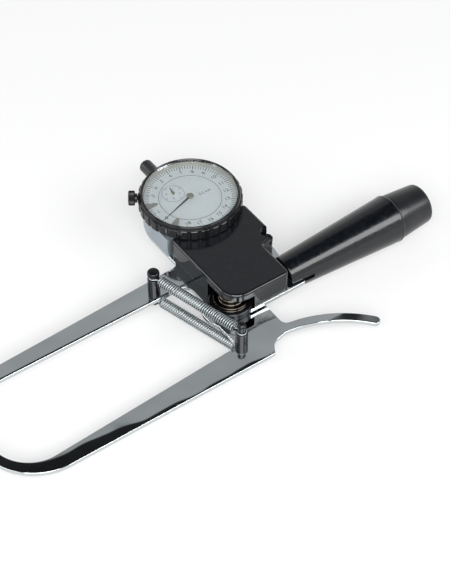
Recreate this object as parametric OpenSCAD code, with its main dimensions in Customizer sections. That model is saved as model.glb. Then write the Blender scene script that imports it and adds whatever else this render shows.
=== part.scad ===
// Skinfold caliper with plate arms, two tension springs and a dial gauge.
// +X runs from the jaws to the handle, +Y to the gauge's spindle cap, +Z up out of the dial.
// The origin is the middle of the closed jaw faces, midway between the two arm plates.

/* [Arms] */
// Distance from the jaw faces to the pivot
pivot_x = 154.5; // [140:0.5:170]
// Thickness of each arm plate
plate_t = 2.5; // [2:0.1:3.5]
// Gap between the two arm plates
plate_gap = 1.0; // [0.6:0.1:2]
// Half of the outer width over both arms, next to the pivot
arm_root_y = 39.3; // [36:0.1:42]
// Half of the outer width over both arms, at the bend
arm_tip_y = 35.3; // [33:0.1:38]
// Half of the inner width between the arms, next to the pivot
arm_in_root_y = 25; // [22:0.1:28]
// Half of the inner width between the arms, at the bend
arm_in_tip_y = 26.9; // [24:0.1:29]
// Opening of the jaws at full travel
jaw_opening = 80; // [40:1:80]

/* [Jaws] */
// Width of a jaw face along the arm
jaw_w = 6; // [5:0.5:8]
// Height of a jaw face
jaw_h = 15; // [10:0.5:20]
// Thickness of a jaw pad
jaw_t = 2.5; // [2:0.1:4]

/* [Pivot] */
// Outer radius of the bearing boss
boss_r = 12; // [11.5:0.1:13]
// Radius of the bearing's outer ring
race_r = 9.4; // [9:0.1:10]
// Radius of the pivot journal
journal_r = 4; // [3.5:0.1:4.5]
// Number of bearing balls
ball_count = 14; // [8:1:16]

/* [Springs] */
// Number of curls of each spring
curls = 36; // [20:1:38]
// Mean radius of a curl
curl_r = 2.5; // [2.2:0.05:2.8]
// Wire diameter
wire_d = 0.9; // [0.6:0.05:1]
// Height of the spring axes above and below the middle
spring_z = 7.4; // [7:0.1:8]

/* [Gauge] */
// Radius of the bezel's scalloped flange
bezel_r = 28.5; // [28:0.1:30]
// Radius of the glass opening
glass_r = 25.8; // [25:0.1:26]
// Radius of the gauge case
case_r = 24.6; // [24:0.1:25]
// Number of scallops round the flange
scallops = 30; // [20:1:40]
// Height of the spindle axis
spindle_z = 9.8; // [9:0.1:10.5]

/* [Cover] */
// Height of the cover's top face
cover_z = 15.4; // [14.5:0.1:15.5]
// Wall thickness of the cover
cover_wall = 1.5; // [1.2:0.1:2]
// Radius of the cover's top edge
cover_edge = 1.6; // [0.8:0.1:2.5]

/* [Handle] */
// Where the handle starts, from the pivot
handle_x = 40.6; // [39:0.1:43]
// Length of the handle without its end cap
handle_len = 67; // [60:1:80]
// Radius of the handle at its thin end
handle_r0 = 10.1; // [9.5:0.1:11]
// Radius of the handle at its thick end
handle_r1 = 13.85; // [12:0.05:15]
// Length of the end cap
cap_len = 21.5; // [18:0.5:26]

/* [Hidden] */
$fn = 64;
eps = 0.01;

chrome = [0.82, 0.83, 0.85];
silver = [0.74, 0.77, 0.79];
black = [0.07, 0.07, 0.08];
dark_steel = [0.25, 0.25, 0.27];
zinc = [0.72, 0.73, 0.74];
brass = [0.78, 0.62, 0.32];
dial_white = [0.93, 0.94, 0.95];
marker_tan = [0.72, 0.68, 0.6];
clear = [0.85, 0.92, 0.95, 0.35];

fix_z0 = plate_gap / 2;
fix_z1 = fix_z0 + plate_t;
mov_z1 = -plate_gap / 2;
mov_z0 = mov_z1 - plate_t;
tip_x = -pivot_x;
tip_out_x = tip_x - jaw_w / 2;
tip_in_x = tip_x + jaw_w / 2;
open_deg = 2 * asin(jaw_opening / 2 / pivot_x);

// The hub of the moving arm and the neck below it
hub_r = 16.4;
neck_x0 = -14.1;
neck_x1 = 14.7;

// The finger lever is a ring sector that bends away from the handle
lever_c = [6.6, -92.7];
lever_r1 = 65.9;
lever_r0 = 60.4;
lever_a0 = 83;
lever_a1 = 41;

post_fixed = [-28, 31.2];
post_moving = [-10.6, -24.4];
post_r = 3.3;
groove_r = 1.6;
post_top = 13;
shank_r = 2.5;

// Gauge axis and levels
dial = [16.8, 61.6];
case_z0 = 3.7;
rim_z0 = 15.6;
rim_z1 = 19.4;
rim_r = 26.0;
bezel_z0 = 15.9;
flange_z1 = 21.8;
bezel_z1 = 23.9;
face_z = 20.0;
glass_z = 22.2;
glass_t = 1.2;
stem_y0 = 17;
stem_r = 4;
spindle_r = 2.2;

// The drive pin pushes the spindle; it swings evenly to both sides of the X axis
drive_r = 17.1;
drive_a0 = -open_deg / 2;
drive_pin_r = 1.5;
roller_r = 2.2;
tip_gap = 0.05;
contact_y = drive_r * sin(drive_a0) + roller_r + tip_gap;

// Cover outline, in front and at its sides
cover_x0 = -7.3;
cover_x1 = 30.6;
cover_x2 = 40.8;
cover_y0 = -10.8;
cover_y1 = 45.5;
notch_y = 14.5;
pocket = [38.6, 20.5];
pocket_r = 4.2;
pocket_z = 8.2;

handle_z = fix_z0 + plate_t / 2;
tang_w = 12;
tang_x1 = 75;

// Arc of n + 1 points round c from angle a to angle b
function arc(c, r, a, b, n) = [for (i = [0 : n]) let (t = a + (b - a) * i / n) c + r * [cos(t), sin(t)]];

function unit(v) = v / norm(v);
function turn(u, v) = u[0] * v[1] - u[1] * v[0];

// Outline with its corners rounded: each corner is [x, y, radius]
function corner_arc(p, q, s, r, n) =
    let (u = unit(p - q), v = unit(s - q), half = acos(u * v) / 2,
         run = r / tan(half), c = q + unit(u + v) * r / sin(half),
         from = q + u * run - c, to = q + v * run - c,
         a = atan2(from[1], from[0]), sweep = (180 - 2 * half) * sign(turn(from, to)))
    [for (i = [0 : n]) c + r * [cos(a + sweep * i / n), sin(a + sweep * i / n)]];
function xy(p) = [p[0], p[1]];
function rounded(pts, n = 8) = [
    for (i = [0 : len(pts) - 1])
        let (k = len(pts), q = pts[i])
        each (q[2] == 0 ? [xy(q)]
            : corner_arc(xy(pts[(i + k - 1) % k]), xy(q), xy(pts[(i + 1) % k]), q[2],
                         q[2] > 15 ? 3 * n : n))
];

// Everything below is drawn about the pivot axis and then put in the row's frame
module at_pivot() { translate([pivot_x, 0, 0]) children(); }
module plate(z0, t) { translate([0, 0, z0]) linear_extrude(t) children(); }
module disc(r, z0, z1) { translate([0, 0, z0]) cylinder(r = r, h = z1 - z0); }
module ring(r1, r0, z0, z1) {
    difference() {
        disc(r1, z0, z1);
        disc(r0, z0 - 1, z1 + 1);
    }
}
module along_y(p, y0, y1, r) { translate([p[0], y0, p[1]]) rotate([-90, 0, 0]) cylinder(r = r, h = y1 - y0); }
module along_x(p, x0, x1, r) { translate([x0, p[0], p[1]]) rotate([0, 90, 0]) cylinder(r = r, h = x1 - x0); }
module turned_x(z) { translate([0, 0, z]) rotate([0, 90, 0]) rotate_extrude() children(); }

// Closed solid through a stack of like rings of points
module loft(rings) {
    n = len(rings[0]);
    m = len(rings);
    polyhedron(
        [for (r = rings) each r],
        concat(
            [[for (i = [n - 1 : -1 : 0]) i]],
            [for (k = [0 : m - 2]) for (i = [0 : n - 1]) let (j = (i + 1) % n)
                each [[k * n + i, k * n + j, (k + 1) * n + j], [k * n + i, (k + 1) * n + j, (k + 1) * n + i]]],
            [[for (i = [0 : n - 1]) (m - 1) * n + i]]
        )
    );
}

// ---- Arms and jaws ----

// Outline of the arm's outer half for one side, s = 1 for the fixed arm and -1 for the moving one
function arm_bend(s) = [
    [tip_in_x, s * jaw_t, 0.4],
    [tip_in_x, s * arm_in_tip_y, 22],
];
function arm_back(s) = [
    [tip_out_x, s * arm_tip_y, 32.4],
    [tip_out_x, s * jaw_t, 0.4],
];

module base_outline() {
    polygon(rounded(concat(
        arm_bend(1),
        [[-12.4, arm_in_root_y, 6], [-12.4, -1, 1], [-3, -10.9, 1], [handle_x + 1.5, -10.9, 1.2],
         [handle_x + 1.5, -tang_w / 2, 0.8], [tang_x1, -tang_w / 2, 2], [tang_x1, tang_w / 2, 2],
         [handle_x + 1.5, tang_w / 2, 0.8], [handle_x + 1.5, 12.5, 3], [41.4, 18, 3],
         [41.4, dial[1] - 10, 4], [dial[0], dial[1] - 10, 0], [-9.8, dial[1] - 10, 0],
         [-9.8, 39.2, 1.5]],
        [[-14, arm_root_y, 4]], arm_back(1)
    )));
    translate(dial) circle(r = 26.6, $fn = 96);
    translate([-9.8, 39]) square([26, dial[1] - 39]);
}

module frame_plate() at_pivot() color(chrome) {
    difference() {
        plate(fix_z0, plate_t) base_outline();
        disc(boss_r, fix_z0 - 1, fix_z1 + 1);
        translate(post_fixed) disc(shank_r, fix_z0 - 1, fix_z1 + 1);
        plate(fix_z0 - 1, plate_t + 2) drive_slot();
        for (p = cover_screw_at) translate(p) disc(1.6, fix_z0 - 1, fix_z1 + 1);
        translate(pocket) disc(1.5, fix_z0 - 1, fix_z1 + 1);
        for (p = handle_pin_at) translate(p) disc(1.5, fix_z0 - 1, fix_z1 + 1);
    }
}

// Arc slot that the drive pin swings in
slot_r = 2.2;
slot_a = open_deg / 2 + 0.6;
module drive_slot() {
    polygon(concat(arc([0, 0], drive_r + slot_r, -slot_a, slot_a, 12),
                   arc([0, 0], drive_r - slot_r, slot_a, -slot_a, 12)));
    for (a = [-slot_a, slot_a]) rotate(a) translate([drive_r, 0]) circle(r = slot_r);
}

cover_screw_at = [[-3.2, 24], [25.5, -6]];
handle_pin_at = [[55, 0], [68, 0]];

module lever_outline() {
    lever_mid = (lever_r0 + lever_r1) / 2;
    polygon(concat(arc(lever_c, lever_r1, lever_a0 + 9, lever_a1, 16),
                   arc(lever_c, lever_r0 + 0.6, lever_a1, lever_a0 + 9, 16)));
    translate(lever_c + lever_mid * [cos(lever_a1), sin(lever_a1)])
        translate([0, 0.3]) circle(r = (lever_r1 - lever_r0) / 2 - 0.3, $fn = 40);
}

module moving_outline() {
    polygon(rounded(concat(
        [[neck_x0, 0, 0], [neck_x0, -arm_in_root_y, 4.5]],
        [arm_bend(-1)[1], arm_bend(-1)[0], arm_back(-1)[1], arm_back(-1)[0]],
        [[4.8, -arm_root_y, 6.3], [4.8, lever_c[1] + lever_r0, 1.2], [12, lever_c[1] + lever_r0 + 0.3, 0],
         [23, lever_c[1] + lever_r1 - 3.4, 0], [neck_x1 + 7.2, lever_c[1] + lever_r1 - 1.9, 0],
         [neck_x1, lever_c[1] + lever_r1 - 0.4, 4], [neck_x1, 0, 0]]
    )));
    lever_outline();
    circle(r = hub_r, $fn = 96);
    rotate(drive_a0) translate([drive_r, 0]) circle(r = 4.2);
}

module moving_arm() at_pivot() color(chrome) {
    difference() {
        plate(mov_z0, plate_t) moving_outline();
        disc(6, mov_z0 - 1, mov_z1 + 1);
        translate(post_moving) disc(shank_r, mov_z0 - 1, mov_z1 + 1);
        rotate(drive_a0) translate([drive_r, 0]) disc(drive_pin_r, mov_z0 - 1, mov_z1 + 1);
    }
}

// Jaw pad: a tall face on a foot that is slotted over the arm's end
jaw_foot = 5;
face_gap = 0.02;
module jaw(s, z0) at_pivot() color(dark_steel) {
    difference() {
        translate([tip_x, 0, 0]) rotate([90, 0, 90]) translate([0, 0, -jaw_w / 2]) linear_extrude(jaw_w)
            polygon([[s * face_gap, -jaw_h / 2], [s * face_gap, jaw_h / 2], [s * (jaw_t - 0.6), jaw_h / 2],
                     [s * jaw_t, jaw_h / 2 - 0.6], [s * jaw_foot, z0 + plate_t + 1.4],
                     [s * jaw_foot, z0 - 1.4], [s * jaw_t, -jaw_h / 2 + 0.6],
                     [s * (jaw_t - 0.6), -jaw_h / 2]]);
        plate(z0, plate_t) if (s > 0) base_outline(); else moving_outline();
    }
}
module fixed_jaw() jaw(1, fix_z0);
module moving_jaw() jaw(-1, mov_z0);

// ---- Pivot ----

boss_z0 = mov_z1 + 0.2;
boss_z1 = 3.8;
ball_r = 1.05;
ball_pitch_r = 6.4;
inner_race_r = 5.3;
outer_race_r = 7.5;
race_z1 = 4.0;
shield_z = 3.55;
nut_z0 = 4.4;
nut_z1 = 8.2;

module pivot_boss() at_pivot() color(dark_steel) rotate_extrude($fn = 96)
    polygon([[race_r, boss_z0], [boss_r, boss_z0], [boss_r, boss_z1 - 0.5], [boss_r - 0.5, boss_z1],
             [race_r, boss_z1]]);

module bearing_outer_ring() at_pivot() color(chrome) rotate_extrude($fn = 96)
    polygon([[outer_race_r, boss_z0 + 0.1], [race_r, boss_z0 + 0.1], [race_r, race_z1 - 0.2],
             [race_r - 0.2, race_z1], [5.7, race_z1], [5.7, shield_z], [outer_race_r, shield_z]]);

module bearing_inner_ring() at_pivot() color(chrome)
    ring(inner_race_r, journal_r, mov_z1 + 0.1, race_z1);

module bearing_balls() at_pivot() color(zinc)
    for (i = [0 : ball_count - 1]) rotate(i * 360 / ball_count)
        translate([ball_pitch_r, 0, (boss_z0 + shield_z) / 2]) sphere(r = ball_r, $fn = 16);

module pivot_shaft() at_pivot() color(dark_steel) rotate_extrude()
    polygon([[0, mov_z0 - 1.6], [7.4, mov_z0 - 1.6], [8, mov_z0 - 1], [8, mov_z0], [6, mov_z0],
             [6, mov_z1], [5, mov_z1], [5, mov_z1 + 0.1], [journal_r, mov_z1 + 0.1],
             [journal_r, race_z1 - 0.05], [3, race_z1 - 0.05], [3, nut_z1 + 0.6], [2.6, nut_z1 + 1], [0, nut_z1 + 1]]);

module pivot_washer() at_pivot() color(zinc) ring(5.2, 3.1, race_z1, nut_z0);

module pivot_nut() at_pivot() color(dark_steel)
    difference() {
        disc_hex(5.2, nut_z0, nut_z1);
        disc(3, nut_z0 - 1, nut_z1 + 1);
    }
module disc_hex(r, z0, z1) { translate([0, 0, z0]) cylinder(r = r, h = z1 - z0, $fn = 6); }

// ---- Spring posts and springs ----

// One stud through the plate, the same above and below it
module spring_post(p, z0, z1) at_pivot() translate(p) color(black) {
    half = [[0, post_top], [1.2, post_top - 0.1], [2.05, post_top - 0.8], [2.3, post_top - 1.7],
            [2.3, spring_z + 0.9], [groove_r, spring_z + 0.7], [groove_r, spring_z - 0.65],
            [post_r - 0.3, spring_z - 0.75], [post_r, spring_z - 1.05]];
    rotate_extrude($fn = 48) polygon(concat(
        half, [[post_r, z1], [shank_r, z1], [shank_r, z0], [post_r, z0]],
        [for (i = [len(half) - 1 : -1 : 0]) [half[i][0], -half[i][1]]]
    ));
}
module fixed_spring_post() spring_post(post_fixed, fix_z0, fix_z1);
module moving_spring_post() spring_post(post_moving, mov_z0, mov_z1);

// Tension spring along its own X axis between the two posts, with a hook round each groove
hook_r = 2.4;
curl_rings = 8;
span = norm(post_moving - post_fixed);
coil_len = 48;
coil_pitch = coil_len / curls;
coil_x0 = (span - coil_len) / 2;
// The last part of a curl closes in from the coil's radius to the axis, over this length
closing = 0.8;
lead = closing * coil_pitch + 0.3;
hook_in = coil_x0 - lead;

function ease(t) = t * t * (3 - 2 * t);
// Hook seen from its post: in along the axis, over to the side and round the groove
function hook_points() = concat(
    [for (i = [0 : 5]) let (t = i / 5) [hook_in * (t - 1), hook_r * ease(t), 0]],
    [for (i = [1 : 11]) let (a = 90 - 20 * i) [hook_r * cos(a), hook_r * sin(a), 0]]
);
function closing_points() = [
    for (i = [0 : 5]) let (t = i / 6, a = 360 * closing * t, r = curl_r * (1 - ease(t)))
        [closing * coil_pitch * (t - 1) - 0.3 * (1 - t), r * sin(a), r * cos(a)]
];
coil_points = [
    for (i = [0 : curls * curl_rings]) let (a = 360 * i / curl_rings)
        [coil_x0 + coil_pitch * i / curl_rings, curl_r * sin(a), curl_r * cos(a)]
];
far_end = concat(
    [for (p = closing_points()) if (p[0] > -lead) p + [span - coil_x0 + lead, 0, 0]],
    [for (p = hook_points()) p + [span, 0, 0]]
);
near_end = [for (i = [len(far_end) - 1 : -1 : 0]) let (p = far_end[i]) [span - p[0], -p[1], p[2]]];
spring_path = concat(near_end, coil_points, far_end);

// Tube of 6 sides swept along a path, each ring square to the path
function tangent(p, i) = unit(p[min(i + 1, len(p) - 1)] - p[max(i - 1, 0)]);
function carry(p, i, u) = let (t = tangent(p, i), w = u - (u * t) * t) w / norm(w);
function frames(p) = [for (i = 0, u = carry(p, 0, [0, 0.1, 1]); i < len(p);
                           i = i + 1, u = i < len(p) ? carry(p, i, u) : u) u];
module tube(p, r, sides) {
    f = frames(p);
    loft([for (i = [0 : len(p) - 1]) let (t = tangent(p, i), v = cross(t, f[i]))
        [for (k = [0 : sides - 1]) p[i] + r * (cos(360 * k / sides) * f[i] + sin(360 * k / sides) * v)]]);
}
module spring(side) at_pivot() color(zinc)
    translate([post_fixed[0], post_fixed[1], side * spring_z])
        rotate(atan2(post_moving[1] - post_fixed[1], post_moving[0] - post_fixed[0]))
            tube(spring_path, wire_d / 2, 6);
module upper_spring() spring(1);
module lower_spring() spring(-1);

// Least gap between parts of the wire that are more than half a curl apart
wire_gap = min([
    for (i = [0 : 2 : len(spring_path) - 1])
        for (j = [i + 5 : 1 : min(i + 3 * curl_rings, len(spring_path) - 1)])
            norm(spring_path[i] - spring_path[j]) - wire_d
]);
echo("least gap of the spring wire to itself", wire_gap);

// ---- Cover and gauge seat ----

// Cover outline drawn in by d, with as many points at any d
function cover_outline(d) = rounded([
    [cover_x0 + d, cover_y1 - d, 2.5 - d / 2], [cover_x0 + d, cover_y0 + d, 11 - d],
    [cover_x1 - d, cover_y0 + d, 3 - d / 2], [cover_x1 - d, notch_y + d / 2, 3 + d / 2],
    [cover_x2 - d, notch_y + 3 + d, 3 - d / 2], [cover_x2 - d, cover_y1 - d, 3 - d / 2],
], 7);

module cover_cuts() {
    translate(dial) disc(case_r + 0.3, 0, cover_z + 1);
    translate([0, 0, fix_z1 - eps]) cylinder(r1 = 16.6, r2 = 13.6, h = 8.4);
    translate(pocket) disc(pocket_r, pocket_z, cover_z + 1);
}

module housing_cover() at_pivot() color(black) {
    levels = 5;
    edge_rings = [for (k = [0 : levels]) let (a = 90 * k / levels)
        [for (p = cover_outline(cover_edge * (1 - cos(a))))
            [p[0], p[1], cover_z - cover_edge * (1 - sin(a))]]];
    base_ring = [for (p = cover_outline(0)) [p[0], p[1], fix_z1]];
    difference() {
        loft([for (r = concat([base_ring], edge_rings)) [for (i = [len(r) - 1 : -1 : 0]) r[i]]]);
        difference() {
            plate(fix_z1 - 1, cover_z - cover_wall - fix_z1 + 1) polygon(cover_outline(cover_wall));
            translate(cover_screw_at[0]) disc(3.2, 0, cover_z);
            translate(cover_screw_at[1]) disc(3.2, 0, cover_z);
            translate(pocket) disc(pocket_r + 1.4, 0, cover_z);
        }
        for (p = cover_screw_at) translate(p) disc(1.5, fix_z1 - 1, 10);
        translate(pocket) disc(1.5, 0, cover_z);
        cover_cuts();
    }
}

// Screws from below, their heads under the frame plate
module cover_screws() at_pivot() color(dark_steel)
    for (p = cover_screw_at) translate(p) rotate_extrude($fn = 32)
        polygon([[0, fix_z0 - 0.9], [0.5, fix_z0 - 0.9], [0.5, fix_z0 - 0.4], [2.1, fix_z0 - 0.4],
                 [2.1, fix_z0], [1.5, fix_z0], [1.5, 9.5], [0, 9.5]]);

module cover_side_screw() at_pivot() translate(pocket) color(chrome)
    difference() {
        rotate_extrude($fn = 40)
            polygon([[0, fix_z0], [1.5, fix_z0], [1.5, pocket_z], [3, pocket_z], [3, pocket_z + 1.9],
                     [2.7, pocket_z + 2.2], [0, pocket_z + 2.2]]);
        translate([-4, -0.4, pocket_z + 1.2]) cube([8, 0.8, 2]);
    }

module cradle_outline() {
    translate(dial) circle(r = 26, $fn = 96);
    translate([-9.2, cover_y1 + 0.1]) square([dial[0] + 9.2, dial[1] - cover_y1 - 0.1]);
}
module gauge_cradle() at_pivot() color(silver)
    difference() {
        plate(fix_z1, cover_z - fix_z1) cradle_outline();
        translate(dial) disc(case_r + 0.2, 0, cover_z + 1);
        translate([-20, -20, 0]) cube([80, 20 + cover_y1 + 0.1, 30]);
        along_y([dial[0], spindle_z], dial[1], dial[1] + 40, 5);
    }

saddle_y = [22, 33];
module stem_saddle() at_pivot() color(dark_steel)
    difference() {
        translate([dial[0] - 7, saddle_y[0], fix_z1]) cube([14, saddle_y[1] - saddle_y[0], spindle_z - fix_z1]);
        along_y([dial[0], spindle_z], 0, 60, stem_r);
    }

// ---- Handle ----

cap_z = handle_z;
handle_end = handle_x + handle_len;
bore_len = 14;
bore_r = 8;
module handle_grip() at_pivot() color(black)
    difference() {
        turned_x(handle_z) polygon([
            [0, handle_x], [handle_r0 - 0.9, handle_x], [handle_r0, handle_x + 0.9],
            [handle_r1, handle_end - 0.6], [handle_r1 - 0.6, handle_end],
            [bore_r, handle_end], [bore_r, handle_end - bore_len], [0, handle_end - bore_len]]);
        translate([handle_x - 1, -20, fix_z0 - 0.05]) cube([8, 40, plate_t + 0.1]);
        translate([handle_x, -tang_w / 2, fix_z0]) cube([tang_x1 - handle_x, tang_w, plate_t]);
        for (p = handle_pin_at) translate(p) disc(1.5, -20, 5.5);
    }
module handle_pins() at_pivot() color(zinc)
    for (p = handle_pin_at) translate(p) disc(1.5, -7.5, 5.5);

module handle_end_cap() at_pivot() color(black)
    turned_x(cap_z) polygon([
        [0, handle_end - bore_len + 2], [bore_r - 1, handle_end - bore_len + 2],
        [bore_r, handle_end - bore_len + 3], [bore_r, handle_end], [handle_r1 - 1.2, handle_end],
        [handle_r1 - 0.5, handle_end + 0.7], [11.5, handle_end + cap_len - 1.8],
        [11.1, handle_end + cap_len - 0.8], [10.2, handle_end + cap_len], [0, handle_end + cap_len]]);

// ---- Drive ----

roller_z0 = 7.6;
roller_z1 = 12;
module drive_pin() at_pivot() color(zinc) rotate(drive_a0) translate([drive_r, 0]) {
    disc(drive_pin_r, mov_z0, roller_z1 + 0.9);
    disc(2, 5.6, roller_z0 - 0.05);
}
module drive_roller() at_pivot() color(brass) rotate(drive_a0) translate([drive_r, 0])
    ring(roller_r, drive_pin_r + 0.02, roller_z0, roller_z1);

// ---- Dial gauge ----

module at_dial() { at_pivot() translate(dial) children(); }

module gauge_case() at_dial() color(silver)
    difference() {
        union() {
            disc(case_r, case_z0, rim_z0);
            rotate_extrude($fn = 96) polygon([[0, rim_z0], [rim_r, rim_z0], [rim_r, rim_z1], [0, rim_z1]]);
        }
        disc(case_r - 1.8, case_z0 + 1.4, rim_z1 + 1);
        disc(6, 0, case_z0 + 2);
        along_y([0, spindle_z], -40, 40, stem_r);
    }

module gauge_back() at_dial() color(silver) rotate_extrude($fn = 96)
    polygon([[0, fix_z1], [case_r - 0.4, fix_z1], [case_r - 0.4, case_z0], [6, case_z0],
             [6, case_z0 + 1], [0, case_z0 + 1]]);

module gauge_stem() at_pivot() color(dark_steel)
    difference() {
        along_y([dial[0], spindle_z], stem_y0, dial[1] - case_r + 3, stem_r);
        along_y([dial[0], spindle_z], stem_y0 - 1, dial[1], spindle_r + 0.05);
    }

cap_r = 3.9;
cap_y0 = dial[1] + case_r - 2.5;
cap_y1 = 107;
module spindle_cap() at_pivot() color(black)
    translate([dial[0], 0, spindle_z]) rotate([-90, 0, 0]) rotate_extrude($fn = 48)
        polygon(concat([[spindle_r + 0.4, cap_y0], [stem_r, cap_y0], [stem_r, dial[1] + 26.2],
                        [cap_r + 0.6, dial[1] + 26.2], [cap_r + 0.6, dial[1] + 28.4], [cap_r, dial[1] + 28.8]],
                       arc([cap_r - 2.4, cap_y1 - 2.4], 2.4, 0, 90, 6),
                       [[0, cap_y1], [0, cap_y1 - 2], [spindle_r + 0.4, cap_y1 - 2]]));

module movement_plate() at_dial() color(brass)
    difference() {
        disc(case_r - 2.0, 16.6, 18);
        disc(1.2, 0, 30);
        translate(counter_at) disc(0.8, 0, 30);
    }

counter_r = 7.4;
counter_at = [-6.0, 7.7];

travel = 2 * drive_r * sin(open_deg / 2);
module spindle() at_pivot() color(zinc)
    along_y([dial[0], spindle_z], contact_y + 2.4, cap_y1 - 3 - travel, spindle_r);
module contact_tip() at_pivot() color(dark_steel)
    translate([dial[0], 0, spindle_z]) rotate([-90, 0, 0]) rotate_extrude($fn = 40)
        polygon([[0, contact_y], [2.9, contact_y], [3.1, contact_y + 0.3], [3.1, contact_y + 1.2],
                 [1.8, contact_y + 2.4], [0, contact_y + 2.4]]);

// Scalloped flange, groove and raised ring round the glass
module bezel() at_dial() color(black)
    difference() {
        rotate_extrude($fn = 120)
            polygon([[rim_r + 0.1, bezel_z0], [bezel_r - 0.4, bezel_z0], [bezel_r, bezel_z0 + 0.4],
                     [bezel_r, flange_z1 - 0.5], [bezel_r - 0.5, flange_z1], [27.6, flange_z1],
                     [27.4, flange_z1 + 0.3], [27.6, flange_z1 + 0.6], [27.4, bezel_z1 - 0.7],
                     [26.9, bezel_z1 - 0.1], [26.5, bezel_z1], [glass_r, bezel_z1 - 0.7],
                     [glass_r, glass_z + glass_t], [glass_r + 0.3, glass_z + glass_t], [glass_r + 0.3, glass_z],
                     [glass_r, glass_z], [glass_r - 0.5, face_z + 0.5], [glass_r - 0.5, rim_z1 + 0.1],
                     [rim_r + 0.1, rim_z1 + 0.1]]);
        for (i = [0 : scallops - 1]) rotate((i + 0.5) * 360 / scallops)
            translate([bezel_r + 1.05, 0, bezel_z0 - 1]) cylinder(r = 1.7, h = flange_z1 - bezel_z0 + 3, $fn = 24);
        rotate(screw_a) along_x([0, screw_z], 0, 40, screw_r);
    }

module crystal() at_dial() color(clear) disc(glass_r + 0.25, glass_z, glass_z + glass_t);

// The ring of graduations turns with the bezel, round a fixed centre with the turn counter
dial_split_r = 16.2;
module dial_ring() at_dial() color(dial_white) ring(glass_r - 0.7, dial_split_r, face_z - 0.5, face_z);
module dial_centre() at_dial() color(dial_white)
    difference() {
        union() {
            disc(dial_split_r - 0.1, face_z - 0.5, face_z);
            ring(dial_split_r - 2, dial_split_r - 4, 18, face_z - 0.5);
        }
        disc(1.2, 0, 30);
        translate(counter_at) disc(0.8, 0, 30);
    }

// Limit markers: thin tabs on the rim, between the pointer and the glass
marker_z = 21.6;
short_a = 166;
long_a = 215.4;
module marker(a) at_dial() color(marker_tan) rotate(a) {
    plate(marker_z, 0.35) {
        polygon([[19.6, -0.9], [23, -1.6], [25.2, -1.9], [25.2, 1.9], [23, 1.6], [19.6, 0.9]]);
        translate([19.6, 0]) circle(r = 0.9, $fn = 24);
    }
}
module short_marker() marker(short_a);
module long_marker() marker(long_a);

// Thumb screw through the flange that clamps the bezel
screw_a = 145;
screw_z = 19.7;
screw_r = 1;
knob_r = 4.1;
module bezel_screw() at_dial() color(black) rotate(screw_a) turned_x(screw_z)
    polygon([[0, rim_r + 0.15], [screw_r, rim_r + 0.15], [screw_r, 28.6], [2.6, 28.8], [2.6, 29.9],
             [knob_r - 0.4, 30], [knob_r, 30.4], [knob_r, 33.2], [knob_r - 0.4, 33.6], [0, 33.6]]);

pointer_a = 197.8;
pointer_z = 20.9;
module main_pointer() at_dial() color(black) rotate(pointer_a)
    difference() {
        union() {
            plate(pointer_z, 0.25)
                polygon([[-5.4, -0.7], [0, -0.55], [16, -0.22], [16, -0.55], [22.4, -0.05], [22.4, 0.05],
                         [16, 0.55], [16, 0.22], [0, 0.55], [-5.4, 0.7]]);
            disc(1.7, pointer_z, pointer_z + 0.25);
        }
        disc(0.6, 0, 30);
    }
module main_arbor() at_dial() color(brass) {
    disc(0.6, 14, pointer_z + 0.7);
    ring(1.9, 0.6, pointer_z + 0.25, pointer_z + 0.7);
}

counter_a = 130;
counter_z = 20.3;
module counter_pointer() at_dial() color(brass) translate(counter_at) {
    disc(0.45, 15, counter_z + 0.45);
    rotate(counter_a) plate(counter_z, 0.2)
        polygon([[-1.8, -0.3], [4.9, -0.12], [4.9, 0.12], [-1.8, 0.3]]);
}

frame_plate();
fixed_jaw();
pivot_boss();
bearing_outer_ring();
fixed_spring_post();
gauge_cradle();
stem_saddle();
housing_cover();
cover_screws();
cover_side_screw();
handle_grip();
handle_end_cap();
handle_pins();
moving_arm();
moving_jaw();
moving_spring_post();
pivot_shaft();
bearing_inner_ring();
pivot_washer();
pivot_nut();
drive_pin();
drive_roller();
bearing_balls();
upper_spring();
lower_spring();
gauge_case();
gauge_back();
gauge_stem();
spindle_cap();
movement_plate();
spindle();
contact_tip();
bezel();
crystal();
dial_ring();
dial_centre();
short_marker();
long_marker();
bezel_screw();
main_pointer();
main_arbor();
counter_pointer();
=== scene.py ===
"""Looks of a skinfold caliper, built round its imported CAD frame.

Every length in the classes below is in millimetres about the pivot axis. `place` turns it into
the frame's metres.
"""

import logging
import math
from dataclasses import dataclass, field
from enum import Enum
from typing import Callable, Iterable, Optional, Sequence

import bpy
from mathutils import Matrix, Vector


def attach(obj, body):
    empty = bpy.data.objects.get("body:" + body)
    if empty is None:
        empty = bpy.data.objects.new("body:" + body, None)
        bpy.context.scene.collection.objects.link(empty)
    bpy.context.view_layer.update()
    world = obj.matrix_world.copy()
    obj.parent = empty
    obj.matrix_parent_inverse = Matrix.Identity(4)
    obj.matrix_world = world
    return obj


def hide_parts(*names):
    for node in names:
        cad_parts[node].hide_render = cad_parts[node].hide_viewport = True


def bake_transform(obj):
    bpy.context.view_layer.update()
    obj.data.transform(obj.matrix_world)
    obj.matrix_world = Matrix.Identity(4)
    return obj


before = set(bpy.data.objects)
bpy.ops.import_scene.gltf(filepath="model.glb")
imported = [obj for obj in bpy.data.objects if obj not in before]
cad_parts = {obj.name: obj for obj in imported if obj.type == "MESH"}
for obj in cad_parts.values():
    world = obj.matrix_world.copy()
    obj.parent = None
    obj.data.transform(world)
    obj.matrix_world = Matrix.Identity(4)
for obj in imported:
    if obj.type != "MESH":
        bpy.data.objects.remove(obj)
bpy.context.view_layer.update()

LOG = logging.getLogger("caliper")
MM = 0.001
PIVOT = Vector((154.5, 0.0, 0.0))
DIAL = Vector((16.8, 61.6, 0.0))
UP = Vector((0, 0, 1))

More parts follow.
